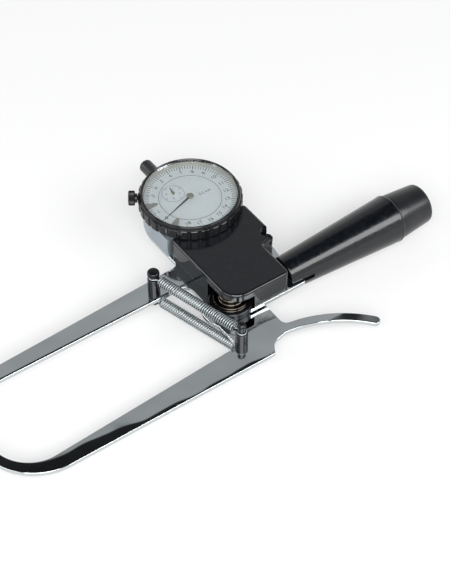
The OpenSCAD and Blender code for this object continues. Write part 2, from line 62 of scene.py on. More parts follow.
# Places that several pieces share. PLATE is the fixed plate's lower and upper face.
PLATE = (0.5, 3.0)
FIXED_POST = (-28.0, 31.2)
MOVING_POST = (-10.6, -24.4)
POST_SHANK = 2.5
COVER_SCREWS = ((-3.2, 24.0), (25.5, -6.0))
SIDE_SCREW = (38.6, 20.5)
SCREW_HOLE = 1.5
HANDLE_PINS = (55.0, 68.0)
TANG_END = 75.0
TANG_HALF = 6.0
COUNTER_CENTRE = (-6.0, 7.7)


class Body(Enum):
    """The moving bodies that new pieces ride on."""

    FRAME = "frame"
    ARM = "arm"
    BEZEL = "bezel_ring"
    CLAMP = "clamp"
    POINTER = "pointer"
    COUNTER = "counter"
    SPRING_ROOT = "spring_root"
    SPRING_REACH = "spring_reach"


# ---------------------------------------------------------------- helpers


def place(point: Sequence[float]) -> Vector:
    """Turns a point about the pivot axis into the row frame.

    Args:
        point: x, y and z in millimetres from the pivot axis.

    Returns:
        The same point in metres in the row frame.
    """
    return (Vector(point) + PIVOT) * MM


def linear(code: str, alpha: float = 1.0) -> tuple[float, float, float, float]:
    """Turns an sRGB hex value into linear colour.

    Args:
        code: Six hex digits, with or without a leading hash.
        alpha: Opacity of the colour.

    Returns:
        Linear red, green, blue and alpha.
    """
    code = code.lstrip("#")
    parts = [int(code[i : i + 2], 16) / 255 for i in (0, 2, 4)]
    red, green, blue = (p / 12.92 if p <= 0.04045 else ((p + 0.055) / 1.055) ** 2.4 for p in parts)
    return red, green, blue, alpha


def add_node(
    tree: bpy.types.NodeTree,
    kind: str,
    values: Optional[dict] = None,
    links: Optional[dict] = None,
    stops: Sequence[tuple] = (),
    **settings: object,
) -> bpy.types.Node:
    """Adds one shader node.

    Args:
        tree: The tree that takes the node.
        kind: Blender's type name of the node.
        values: Input name or index to the value that it keeps.
        links: Input name or index to the output socket that feeds it.
        stops: Position and colour of each stop, on a colour ramp.
        **settings: Properties of the node itself.

    Returns:
        The new node.
    """
    made = tree.nodes.new(kind)
    for key, value in settings.items():
        setattr(made, key, value)
    for key, value in (values or {}).items():
        made.inputs[key].default_value = value
    for key, socket in (links or {}).items():
        tree.links.new(socket, made.inputs[key])
    for i, (position, colour) in enumerate(stops):
        stop = made.color_ramp.elements[i] if i < 2 else made.color_ramp.elements.new(position)
        stop.position, stop.color = position, colour
    return made


def select_only(piece: bpy.types.Object) -> None:
    """Leaves one object selected and active."""
    bpy.ops.object.select_all(action="DESELECT")
    piece.select_set(True)
    bpy.context.view_layer.objects.active = piece


def settle(piece: bpy.types.Object, name: str) -> bpy.types.Object:
    """Names a piece and puts its place into its mesh.

    Args:
        piece: The modelled object.
        name: Its final name.

    Returns:
        The object, at the origin, unturned and unscaled.
    """
    select_only(piece)
    bpy.ops.object.transform_apply(location=True, rotation=True, scale=True)
    piece.name = piece.data.name = name
    return piece


def apply_modifiers(piece: bpy.types.Object) -> None:
    """Applies every modifier of a piece in order."""
    select_only(piece)
    for modifier in list(piece.modifiers):
        bpy.ops.object.modifier_apply(modifier=modifier.name)


def smooth(piece: bpy.types.Object, degrees: float = 35, weighted: bool = False) -> None:
    """Shades a piece smooth except over sharp edges.

    Args:
        piece: The piece to shade.
        degrees: Edges sharper than this stay sharp.
        weighted: Whether large faces keep their own normal, so that they stay flat to the eye.
    """
    select_only(piece)
    bpy.ops.object.shade_smooth_by_angle(angle=math.radians(degrees))
    if weighted:
        even = piece.modifiers.new("even", "WEIGHTED_NORMAL")
        even.keep_sharp = True
        even.weight = 100
        apply_modifiers(piece)


def arc(centre: Sequence[float], radius: float, start: float, end: float, steps: int) -> list:
    """Gives the corners of an arc.

    Args:
        centre: x and y of its centre.
        radius: Its radius.
        start: First angle in degrees.
        end: Last angle in degrees.
        steps: Steps from the first to the last.

    Returns:
        Corners for `rounded`, with no rounding of their own.
    """
    turns = [math.radians(start + (end - start) * k / steps) for k in range(steps + 1)]
    return [(centre[0] + radius * math.cos(t), centre[1] + radius * math.sin(t), 0) for t in turns]


def rounded(corners: Sequence[tuple], steps: int = 8) -> list:
    """Rounds the corners of an outline.

    Args:
        corners: x, y and radius of each corner, anticlockwise.
        steps: Steps in each small rounding; a large one has four times as many.

    Returns:
        The outline's points.
    """
    points = []
    for i, (x, y, radius) in enumerate(corners):
        corner = Vector((x, y))
        if not radius:
            points.append(corner)
            continue
        before = (Vector(corners[i - 1][:2]) - corner).normalized()
        after = (Vector(corners[(i + 1) % len(corners)][:2]) - corner).normalized()
        half = before.angle(after) / 2
        centre = corner + (before + after).normalized() * radius / math.sin(half)
        first = corner + before * radius / math.tan(half) - centre
        last = corner + after * radius / math.tan(half) - centre
        sweep = (math.pi - 2 * half) * (1 if first.cross(last) > 0 else -1)
        start = math.atan2(first.y, first.x)
        count = steps * 4 if radius > 15 else steps
        points += [
            centre + radius * Vector(
                (math.cos(start + sweep * k / count), math.sin(start + sweep * k / count))
            )
            for k in range(count + 1)
        ]
    return points


def slab(name: str, outline: Sequence[Vector], low: float, high: float) -> bpy.types.Object:
    """Extrudes a solid from an outline.

    Args:
        name: Name of the piece.
        outline: Points about the pivot axis, anticlockwise.
        low: Height of its lower face.
        high: Height of its upper face.

    Returns:
        The solid, with its place in its mesh.
    """
    bpy.ops.object.select_all(action="DESELECT")
    bpy.ops.mesh.primitive_circle_add(vertices=len(outline), radius=0.01, fill_type="NGON")
    piece = bpy.context.view_layer.objects.active
    for vertex, point in zip(piece.data.vertices, outline):
        vertex.co = place((point[0], point[1], low))
    bpy.ops.object.mode_set(mode="EDIT")
    bpy.ops.mesh.select_all(action="SELECT")
    bpy.ops.mesh.extrude_region_move(TRANSFORM_OT_translate={"value": (0, 0, (high - low) * MM)})
    bpy.ops.mesh.select_all(action="SELECT")
    bpy.ops.mesh.normals_make_consistent(inside=False)
    bpy.ops.object.mode_set(mode="OBJECT")
    piece.name = piece.data.name = name
    return piece


def turned(
    name: str, profile: Sequence[tuple], centre: Vector, axis: Vector, steps: int = 64
) -> bpy.types.Object:
    """Turns a piece on a lathe.

    Args:
        name: Name of the piece.
        profile: Distance along the axis and radius of each point in millimetres, from end to end.
        centre: A point on the axis, in metres, from which the distances run.
        axis: Direction of the axis.
        steps: Steps of the full turn.

    Returns:
        The closed solid.
    """
    axis = axis.normalized()
    side = axis.orthogonal().normalized()
    bpy.ops.object.select_all(action="DESELECT")
    bpy.ops.mesh.primitive_circle_add(vertices=len(profile), radius=0.01)
    piece = bpy.context.view_layer.objects.active
    for vertex, (along, radius) in zip(piece.data.vertices, profile):
        vertex.co = centre + axis * along * MM + side * radius * MM
    pick_edges(piece, lambda a, b: {a, b} == {0, len(profile) - 1})
    bpy.ops.mesh.delete(type="EDGE")
    bpy.ops.mesh.select_all(action="SELECT")
    bpy.ops.mesh.spin(steps=steps, angle=math.tau, center=centre, axis=axis)
    bpy.ops.mesh.select_all(action="SELECT")
    bpy.ops.mesh.remove_doubles(threshold=0.000002)
    bpy.ops.mesh.dissolve_degenerate(threshold=0.000001)
    bpy.ops.mesh.select_all(action="SELECT")
    bpy.ops.mesh.normals_make_consistent(inside=False)
    bpy.ops.object.mode_set(mode="OBJECT")
    piece.name = piece.data.name = name
    return piece


def pick_edges(piece: bpy.types.Object, wanted: Callable[[int, int], bool]) -> None:
    """Goes into edit mode with some edges selected.

    Args:
        piece: The piece to edit.
        wanted: Says for an edge's two vertex numbers whether it is selected.
    """
    select_only(piece)
    bpy.ops.object.mode_set(mode="EDIT")
    bpy.ops.mesh.select_mode(type="EDGE")
    bpy.ops.mesh.select_all(action="DESELECT")
    bpy.ops.object.mode_set(mode="OBJECT")
    for edge in piece.data.edges:
        edge.select = wanted(*edge.vertices)
    bpy.ops.object.mode_set(mode="EDIT")


def bevel_edges(
    piece: bpy.types.Object, wanted: Callable[[Vector, Vector], bool], width: float, segments: int
) -> None:
    """Rounds chosen edges.

    Args:
        piece: The piece to edit.
        wanted: Says for an edge's two ends, in metres, whether it is rounded.
        width: Width of the rounding in millimetres.
        segments: Steps of the rounding.
    """
    vertices = piece.data.vertices
    pick_edges(piece, lambda a, b: wanted(vertices[a].co, vertices[b].co))
    bpy.ops.mesh.bevel(offset=width * MM, segments=segments, affect="EDGES")
    bpy.ops.object.mode_set(mode="OBJECT")


def combine(piece: bpy.types.Object, tool: bpy.types.Object, operation: str = "DIFFERENCE") -> None:
    """Cuts or adds one solid from or to another and removes the tool.

    Args:
        piece: The solid that stays.
        tool: The solid that is used up.
        operation: Blender's name of the operation.
    """
    boolean = piece.modifiers.new("combine", "BOOLEAN")
    boolean.operation, boolean.solver, boolean.object = operation, "EXACT", tool
    apply_modifiers(piece)
    bpy.data.objects.remove(tool)


def round_edges(
    piece: bpy.types.Object, width: float, segments: int = 3, degrees: float = 40
) -> None:
    """Rounds every edge of a piece that is sharper than an angle.

    Args:
        piece: The piece to finish.
        width: Width of the rounding in millimetres.
        segments: Steps of the rounding.
        degrees: Edges flatter than this stay.
    """
    edge = piece.modifiers.new("edge", "BEVEL")
    edge.width, edge.segments, edge.limit_method = width * MM, segments, "ANGLE"
    edge.angle_limit = math.radians(degrees)
    edge.use_clamp_overlap = False
    apply_modifiers(piece)


def bored(
    name: str, centre: Sequence[float], radius: float, low: float, high: float, sides: int = 64
) -> bpy.types.Object:
    """Models a round upright tool or boss.

    Args:
        name: Name of the piece.
        centre: x and y of its axis.
        radius: Its radius.
        low: Height of its lower end.
        high: Height of its upper end.
        sides: Sides round it.

    Returns:
        The solid.
    """
    turn = [math.tau * i / sides for i in range(sides)]
    outline = [
        Vector((centre[0] + radius * math.cos(t), centre[1] + radius * math.sin(t))) for t in turn
    ]
    return slab(name, outline, low, high)


def copy_node(node: str, name: str) -> bpy.types.Object:
    """Copies a CAD node as one closed mesh.

    Args:
        node: Name of the node.
        name: Name of the copy.

    Returns:
        The copy, its vertices merged and its flat faces joined.
    """
    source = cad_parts[node]
    piece = bpy.data.objects.new(name, source.data.copy())
    bpy.context.scene.collection.objects.link(piece)
    piece.data.materials.clear()
    select_only(piece)
    bpy.ops.object.mode_set(mode="EDIT")
    bpy.ops.mesh.select_all(action="SELECT")
    bpy.ops.mesh.remove_doubles(threshold=0.000002)
    bpy.ops.mesh.customdata_custom_splitnormals_clear()
    bpy.ops.mesh.dissolve_limited(angle_limit=math.radians(0.5))
    bpy.ops.object.mode_set(mode="OBJECT")
    return piece


def ring_of(
    model: bpy.types.Object, count: int, centre: Vector, step: float, keep: Callable[[int], bool]
) -> list:
    """Copies a modelled piece round a vertical axis.

    Args:
        model: The piece at angle 0, which is removed at the end.
        count: Number of places.
        centre: A point on the axis, in metres.
        step: Angle from one place to the next, in radians.
        keep: Says for each place whether it gets a copy.

    Returns:
        The copies, each with its own mesh.
    """
    made = []
    for i in range(count):
        if keep(i):
            twin = bpy.data.objects.new(model.name, model.data.copy())
            bpy.context.scene.collection.objects.link(twin)
            turn = Matrix.Translation(centre) @ Matrix.Rotation(
                step * i, 4, "Z"
            ) @ Matrix.Translation(-centre)
            twin.data.transform(turn)
            made.append(twin)
    bpy.data.objects.remove(model)
    return made


def join(parts: Iterable[bpy.types.Object], name: str) -> bpy.types.Object:
    """Joins pieces into one.

    Args:
        parts: The pieces to join.
        name: Name of the result.

    Returns:
        The joined object.
    """
    parts = list(parts)
    bpy.ops.object.select_all(action="DESELECT")
    for part in parts:
        part.select_set(True)
    bpy.context.view_layer.objects.active = parts[0]
    bpy.ops.object.join()
    return settle(parts[0], name)


def dress(piece: bpy.types.Object, finish: "Finish") -> None:
    """Gives a piece one finish all over."""
    piece.data.materials.clear()
    piece.data.materials.append(finish.material())


def hang(
    piece: bpy.types.Object, finish: "Finish", body: Body, node: Optional[str]
) -> None:
    """Finishes a piece, puts it on its body and reports it.

    Args:
        piece: The modelled piece.
        finish: Its finish.
        body: The body that carries it.
        node: The CAD node that it stands for, if any.
    """
    dress(piece, finish)
    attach(piece, body.value)
    if node:
        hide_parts(node)
    LOG.info("%s: %d faces", piece.name, len(piece.data.polygons))


# ---------------------------------------------------------------- finishes


@dataclass(frozen=True)
class Finish:
    """A surface: what it is made of and how it was made."""

    name: str
    colour: str
    roughness: float = 0.4
    metallic: float = 0.0

    def material(self) -> bpy.types.Material:
        """Returns the finish's material, made on first use."""
        found = bpy.data.materials.get(self.name)
        if found:
            return found
        made = bpy.data.materials.new(self.name)
        made.use_nodes = True
        made.diffuse_color = linear(self.colour)
        made.metallic, made.roughness = self.metallic, self.roughness
        tree = made.node_tree
        tree.nodes.clear()
        shader = add_node(
            tree,
            "ShaderNodeBsdfPrincipled",
            {
                "Base Color": linear(self.colour),
                "Roughness": self.roughness,
                "Metallic": self.metallic,
            },
        )
        end = self.pattern(tree, shader) or shader.outputs["BSDF"]
        add_node(tree, "ShaderNodeOutputMaterial", links={"Surface": end})
        return made

    def pattern(self, tree: bpy.types.NodeTree, shader: bpy.types.Node) -> Optional[
        bpy.types.NodeSocket
    ]:
        """Adds the finish's own detail.

        Args:
            tree: The material's nodes.
            shader: Its principled shader.

        Returns:
            The surface to show, or None for the shader itself.
        """
        return None

    @staticmethod
    def noise(
        tree: bpy.types.NodeTree,
        size: float,
        detail: float = 2.0,
        stretch: Sequence[float] = (1, 1, 1),
    ) -> bpy.types.Node:
        """Adds noise in object space.

        Args:
            tree: The material's nodes.
            size: Size of one blotch in millimetres.
            detail: Octaves of finer noise.
            stretch: How much closer the noise repeats along each axis.

        Returns:
            The noise node.
        """
        where = add_node(tree, "ShaderNodeTexCoord")
        mapped = add_node(
            tree, "ShaderNodeMapping", {"Scale": stretch}, {"Vector": where.outputs["Object"]}
        )
        return add_node(
            tree,
            "ShaderNodeTexNoise",
            {"Scale": 1 / (size * MM), "Detail": detail, "Roughness": 0.55},
            {"Vector": mapped.outputs["Vector"]},
        )


@dataclass(frozen=True)
class MirrorChrome(Finish):
    """Bright nickel-chrome over polished plate: a mirror with a faint roll and a few wiping marks."""

    roll: float = 0.8
    roll_size: float = 26.0
    wipe: float = 0.05
    fall: float = 0.11
    fall_centre: tuple = (29.4, -8.6)
    fall_start: float = 25.6
    fall_shift: float = 4.9
    shift_start: float = 40.0
    shift_end: float = 88.0
    fall_wave: float = 2.6
    wave_size: float = 17.0
    inner_edge: float = 24.0
    inner_width: float = 1.3

    def pattern(self, tree: bpy.types.NodeTree, shader: bpy.types.Node) -> None:
        """Adds the roll of the polished plate and its wiping marks."""
        roll = self.noise(tree, self.roll_size, 1.0)
        fine = self.noise(tree, 0.5, 3.0, (0.08, 1, 1))
        low = add_node(
            tree,
            "ShaderNodeBump",
            {"Strength": 1.0, "Distance": self.roll * MM},
            {"Height": roll.outputs["Fac"]},
        )
        where = add_node(tree, "ShaderNodeTexCoord")
        middle = (self.fall_centre[0] * MM, self.fall_centre[1] * MM, 0)
        local = add_node(
            tree,
            "ShaderNodeVectorMath",
            {1: middle},
            {0: where.outputs["Object"]},
            operation="SUBTRACT",
        )
        outer = add_node(
            tree, "ShaderNodeVectorMath", {1: (0, 0, 0)}, {0: local.outputs[0]}, operation="MINIMUM"
        )
        flat = add_node(
            tree,
            "ShaderNodeVectorMath",
            {1: (1, 1, 0)},
            {0: outer.outputs[0]},
            operation="MULTIPLY",
        )
        reach = add_node(
            tree, "ShaderNodeVectorMath", links={0: flat.outputs[0]}, operation="LENGTH"
        )
        along = add_node(tree, "ShaderNodeSeparateXYZ", links={"Vector": where.outputs["Object"]})
        shift = add_node(
            tree,
            "ShaderNodeMapRange",
            {
                "From Min": self.shift_start * MM,
                "From Max": self.shift_end * MM,
                "To Min": 0.0,
                "To Max": -self.fall_shift * MM,
            },
            {"Value": along.outputs["X"]},
            interpolation_type="SMOOTHSTEP",
        )
        wave = self.noise(tree, self.wave_size, 0.0)
        waved = add_node(
            tree,
            "ShaderNodeMath",
            {1: self.fall_wave * MM, 2: -0.5 * self.fall_wave * MM - self.fall_start * MM},
            {0: wave.outputs["Fac"]},
            operation="MULTIPLY_ADD",
        )
        moved = add_node(
            tree,
            "ShaderNodeMath",
            links={0: reach.outputs["Value"], 1: shift.outputs["Result"]},
            operation="ADD",
        )
        past = add_node(
            tree,
            "ShaderNodeMath",
            links={0: moved.outputs[0], 1: waved.outputs[0]},
            operation="ADD",
        )
        fall = add_node(
            tree, "ShaderNodeMath", {1: 0.0, 2: 1.0 * MM}, {
                0: past.outputs[0]
            }, operation="SMOOTH_MAX"
        )
        inner = add_node(
            tree,
            "ShaderNodeMapRange",
            {
                "From Min": self.inner_edge * MM,
                "From Max": (self.inner_edge - self.inner_width) * MM,
                "To Min": 0.0,
                "To Max": self.inner_width * MM,
            },
            {"Value": along.outputs["Y"]},
        )
        both = add_node(
            tree,
            "ShaderNodeMath",
            links={0: fall.outputs[0], 1: inner.outputs["Result"]},
            operation="ADD",
        )
        rolled = add_node(
            tree,
            "ShaderNodeBump",
            {"Strength": 1.0, "Distance": self.fall},
            {"Height": both.outputs[0], "Normal": low.outputs["Normal"]},
            invert=True,
        )
        hair = add_node(
            tree,
            "ShaderNodeBump",
            {"Strength": 0.04, "Distance": 0.02 * MM},
            {"Height": fine.outputs["Fac"], "Normal": rolled.outputs["Normal"]},
        )
        tree.links.new(hair.outputs["Normal"], shader.inputs["Normal"])
        marks = self.noise(tree, 7.0, 5.0, (0.4, 1, 1))
        rough = add_node(
            tree,
            "ShaderNodeMapRange",
            {
                "From Min": 0.35,
                "From Max": 0.75,
                "To Min": self.roughness,
                "To Max": self.roughness + self.wipe,
            },
            {"Value": marks.outputs["Fac"]},
        )
        tree.links.new(rough.outputs["Result"], shader.inputs["Roughness"])


@dataclass(frozen=True)
class GlossBlack(Finish):
    """Buffed black phenolic or enamel: a deep gloss with faint ripple and fine scuffs."""

    ripple: float = 0.04
    ripple_size: float = 6.0
    scuff: float = 0.12
    specular: float = 0.5

    def pattern(self, tree: bpy.types.NodeTree, shader: bpy.types.Node) -> None:
        """Adds the ripple of the moulding and its scuffs."""
        shader.inputs["IOR"].default_value = 1.5
        shader.inputs["Specular IOR Level"].default_value = self.specular
        ripple = self.noise(tree, self.ripple_size, 1.0)
        bump = add_node(
            tree,
            "ShaderNodeBump",
            {"Strength": 1.0, "Distance": self.ripple * MM},
            {"Height": ripple.outputs["Fac"]},
        )
        tree.links.new(bump.outputs["Normal"], shader.inputs["Normal"])
        marks = self.noise(tree, 3.0, 6.0)
        rough = add_node(
            tree,
            "ShaderNodeMapRange",
            {
                "From Min": 0.4,
                "From Max": 0.8,
                "To Min": self.roughness,
                "To Max": self.roughness + self.scuff,
            },
            {"Value": marks.outputs["Fac"]},
        )
        tree.links.new(rough.outputs["Result"], shader.inputs["Roughness"])
        cloud = add_node(
            tree,
            "ShaderNodeValToRGB",
            links={"Fac": marks.outputs["Fac"]},
            stops=[(0.3, linear(self.colour)), (0.8, linear("121418"))],
        )
        tree.links.new(cloud.outputs["Color"], shader.inputs["Base Color"])


@dataclass(frozen=True)
class GrainedMetal(Finish):
    """Blasted, oxidised or ground metal: an even fine grain that spreads the light."""

    grain: float = 0.35
    depth: float = 0.02
    along: tuple = (1, 1, 1)
    light: str = "FFFFFF"

    def pattern(self, tree: bpy.types.NodeTree, shader: bpy.types.Node) -> None:
        """Adds the grain, and a slight change of tone over it."""
        grain = self.noise(tree, self.grain, 3.0, self.along)
        bump = add_node(
            tree,
            "ShaderNodeBump",
            {"Strength": 0.6, "Distance": self.depth * MM},
            {"Height": grain.outputs["Fac"]},
        )
        tree.links.new(bump.outputs["Normal"], shader.inputs["Normal"])
        tone = self.noise(tree, 9.0, 4.0)
        shade = add_node(
            tree,
            "ShaderNodeValToRGB",
            links={"Fac": tone.outputs["Fac"]},
            stops=[(0.3, linear(self.colour)), (0.75, linear(self.light))],
        )
        tree.links.new(shade.outputs["Color"], shader.inputs["Base Color"])
        rough = add_node(
            tree,
            "ShaderNodeMapRange",
            {
                "From Min": 0.3,
                "From Max": 0.7,
                "To Min": self.roughness - 0.04,
                "To Max": self.roughness + 0.06,
            },
            {"Value": tone.outputs["Fac"]},
        )
        tree.links.new(rough.outputs["Result"], shader.inputs["Roughness"])


@dataclass(frozen=True)
class LitFloor(Finish):
    """White studio table, lit from below so that shadows stay faint, with a fine dust grain."""

    glow: float = 0.42

    def pattern(self, tree: bpy.types.NodeTree, shader: bpy.types.Node) -> None:
        """Adds the glow and the grain."""
        shader.inputs["Emission Color"].default_value = (1, 1, 1, 1)
        shader.inputs["Emission Strength"].default_value = self.glow
        grain = self.noise(tree, 2.0, 3.0)
        bump = add_node(
            tree, "ShaderNodeBump", {"Strength": 0.5, "Distance": 0.01 * MM}, {
                "Height": grain.outputs["Fac"]
            }
        )
        tree.links.new(bump.outputs["Normal"], shader.inputs["Normal"])


@dataclass(frozen=True)
class ClearAcrylic(Finish):
    """Clear acrylic of a dial glass: nearly invisible, with a clean reflection of the lights."""

    def pattern(self, tree: bpy.types.NodeTree, shader: bpy.types.Node) -> bpy.types.NodeSocket:
        """Mixes a clear window with its surface reflection."""
        clear = add_node(tree, "ShaderNodeBsdfTransparent", {"Color": linear("F7FAFB")})
        gloss = add_node(
            tree, "ShaderNodeBsdfGlossy", {
                "Color": linear(self.colour), "Roughness": self.roughness
            }
        )
        edge = add_node(tree, "ShaderNodeFresnel", {"IOR": 1.3})
        mixed = add_node(
            tree,
            "ShaderNodeMixShader",
            links={0: edge.outputs["Fac"], 1: clear.outputs["BSDF"], 2: gloss.outputs["BSDF"]},
        )
        return mixed.outputs["Shader"]


# Polished steel under bright nickel-chrome: a mirror that shows the lights and the room.
CHROME = MirrorChrome("nickel_chrome_plate", "C5CACB", 0.05, 1.0)
# Buffed black moulding: deep black, with the gauge mirrored in its top.
BLACK_ENAMEL = GlossBlack("black_moulded_cover", "07090C", 0.12)
# Turned and polished phenolic: one long highlight down the taper.
BLACK_HANDLE = GlossBlack("black_turned_phenolic", "06080B", 0.14, 0.0, 0.02, 9.0)
# Moulded black plastic left satin: a broad grey sheen beside the glossy grip.
BLACK_CAP = GrainedMetal("satin_black_moulding", "08090C", 0.26, 0.0, 0.3, 0.008, light="101317")
# Oil-blacked steel: dark grey with small sharp glints on its edges.
BLACK_OXIDE = GrainedMetal("black_oxide_steel", "17181B", 0.2, 0.7, 0.2, 0.005, light="222327")
# Anodised and polished aluminium: black, with a thin glint on each scallop.
BEZEL_BLACK = GlossBlack("black_anodised_bezel", "060607", 0.12, 0.0, 0.02, 6.0, 0.06, 0.32)
# Blasted and anodised aluminium: pale, even and slightly blue.
SATIN_SILVER = GrainedMetal(
    "satin_anodised_aluminium", "8A949B", 0.34, 0.75, 0.25, 0.012, light="9BA5AB"
)
# Drawn and bright-zinced wire: each curl has a light crown and a dark gap.
ZINC_WIRE = GrainedMetal("bright_zinc_wire", "8F9698", 0.36, 1.0, 1.5, 0.002, light="A0A7A9")
# Ground steel: fine lines across, and a soft grey shine.
GROUND_STEEL = GrainedMetal("ground_steel", "8F9194", 0.28, 1.0, 0.15, 0.01, (6, 1, 1), "A4A6A8")
# Turned brass: warm yellow with rings from the tool.
BRASS = GrainedMetal("turned_brass", "B08A4A", 0.25, 1.0, 0.1, 0.006, (1, 1, 8), "C9A662")
# Matt white dial paint: flat white that shows no lights.
DIAL_PAINT = GrainedMetal("matt_white_dial_paint", "F1F0EF", 0.6, 0.0, 0.6, 0.003, light="F8F7F6")
# Printed black ink: flat and slightly soft at its edges.
DIAL_INK = GrainedMetal("black_dial_ink", "121317", 0.5, 0.0, 0.2, 0.003, light="24262B")
# Lacquered sheet: black with a faint sheen.
POINTER_BLACK = GrainedMetal(
    "black_lacquered_pointer", "121316", 0.35, 0.0, 0.2, 0.003, light="1C1D21"
)
# Painted sheet: dull tan.
TAN_PAINT = GrainedMetal("painted_tan_tab", "9B958B", 0.45, 0.1, 0.3, 0.006, light="ADA698")
# Browned steel: dark and warm, with bright turned edges.
BROWNED_STEEL = GrainedMetal("browned_steel", "35312D", 0.2, 1.0, 0.3, 0.004, light="4C4741")
# Blacked brass with a straight knurl: dark, with short glints.
KNURLED_BLACK = GrainedMetal("black_knurled_brass", "0C0C0E", 0.32, 0.3, 0.2, 0.01, light="17171A")
# Satin lacquer on a turned cap: soft grey streak on black.
BLACK_SATIN = GrainedMetal("black_satin_lacquer", "0E0F12", 0.3, 0.0, 0.25, 0.006, light="16181C")
# Warm grey paint on the wall under the glass: a thin tan ring.
RIM_PAINT = GrainedMetal("warm_grey_rim_paint", "BDB8AC", 0.5, 0.0, 0.4, 0.004, light="C9C4B8")
# Pale turned brass: a small light hub under the hands.
PALE_BRASS = GrainedMetal("pale_brass_hub", "C8BD9E", 0.25, 1.0, 0.1, 0.003, light="DDD4BC")
# White laminate lit from below: nearly white, with faint shadows.
PALE_FLOOR = LitFloor("white_lit_table", "A6A6A6", 0.7)
# Cast acrylic: clear, seen only by its reflection.
CRYSTAL = ClearAcrylic("clear_acrylic_crystal", "FFFFFF", 0.02)


# ---------------------------------------------------------------- sub-assemblies


@dataclass
class CarriedNodes:
    """CAD nodes that keep their own shape and get a finish."""

    finishes: dict = field(
        default_factory=lambda: {
            CHROME: ["bearing_inner_ring"],
            BROWNED_STEEL: ["bearing_outer_ring"],
            BLACK_OXIDE: ["pivot_boss", "moving_spring_post", "cover_side_screw"],
            SATIN_SILVER: ["gauge_cradle", "gauge_case", "gauge_back"],
            GROUND_STEEL: [
                "fixed_jaw",
                "moving_jaw",
                "stem_saddle",
                "cover_screws",
                "handle_pins",
                "pivot_washer",
                "drive_pin",
                "bearing_balls",
                "gauge_stem",
                "spindle",
                "contact_tip",
            ],
            BRASS: ["drive_roller", "movement_plate"],
            PALE_BRASS: ["main_arbor"],
            DIAL_PAINT: ["dial_centre", "dial_ring"],
            TAN_PAINT: ["short_marker", "long_marker"],
            CRYSTAL: ["crystal"],
        }
    )

    def build(self) -> None:
        """Dresses every carried node."""
        for finish, names in self.finishes.items():
            for name in names:
                dress(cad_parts[name], finish)
        LOG.info("dressed %d carried nodes", sum(map(len, self.finishes.values())))


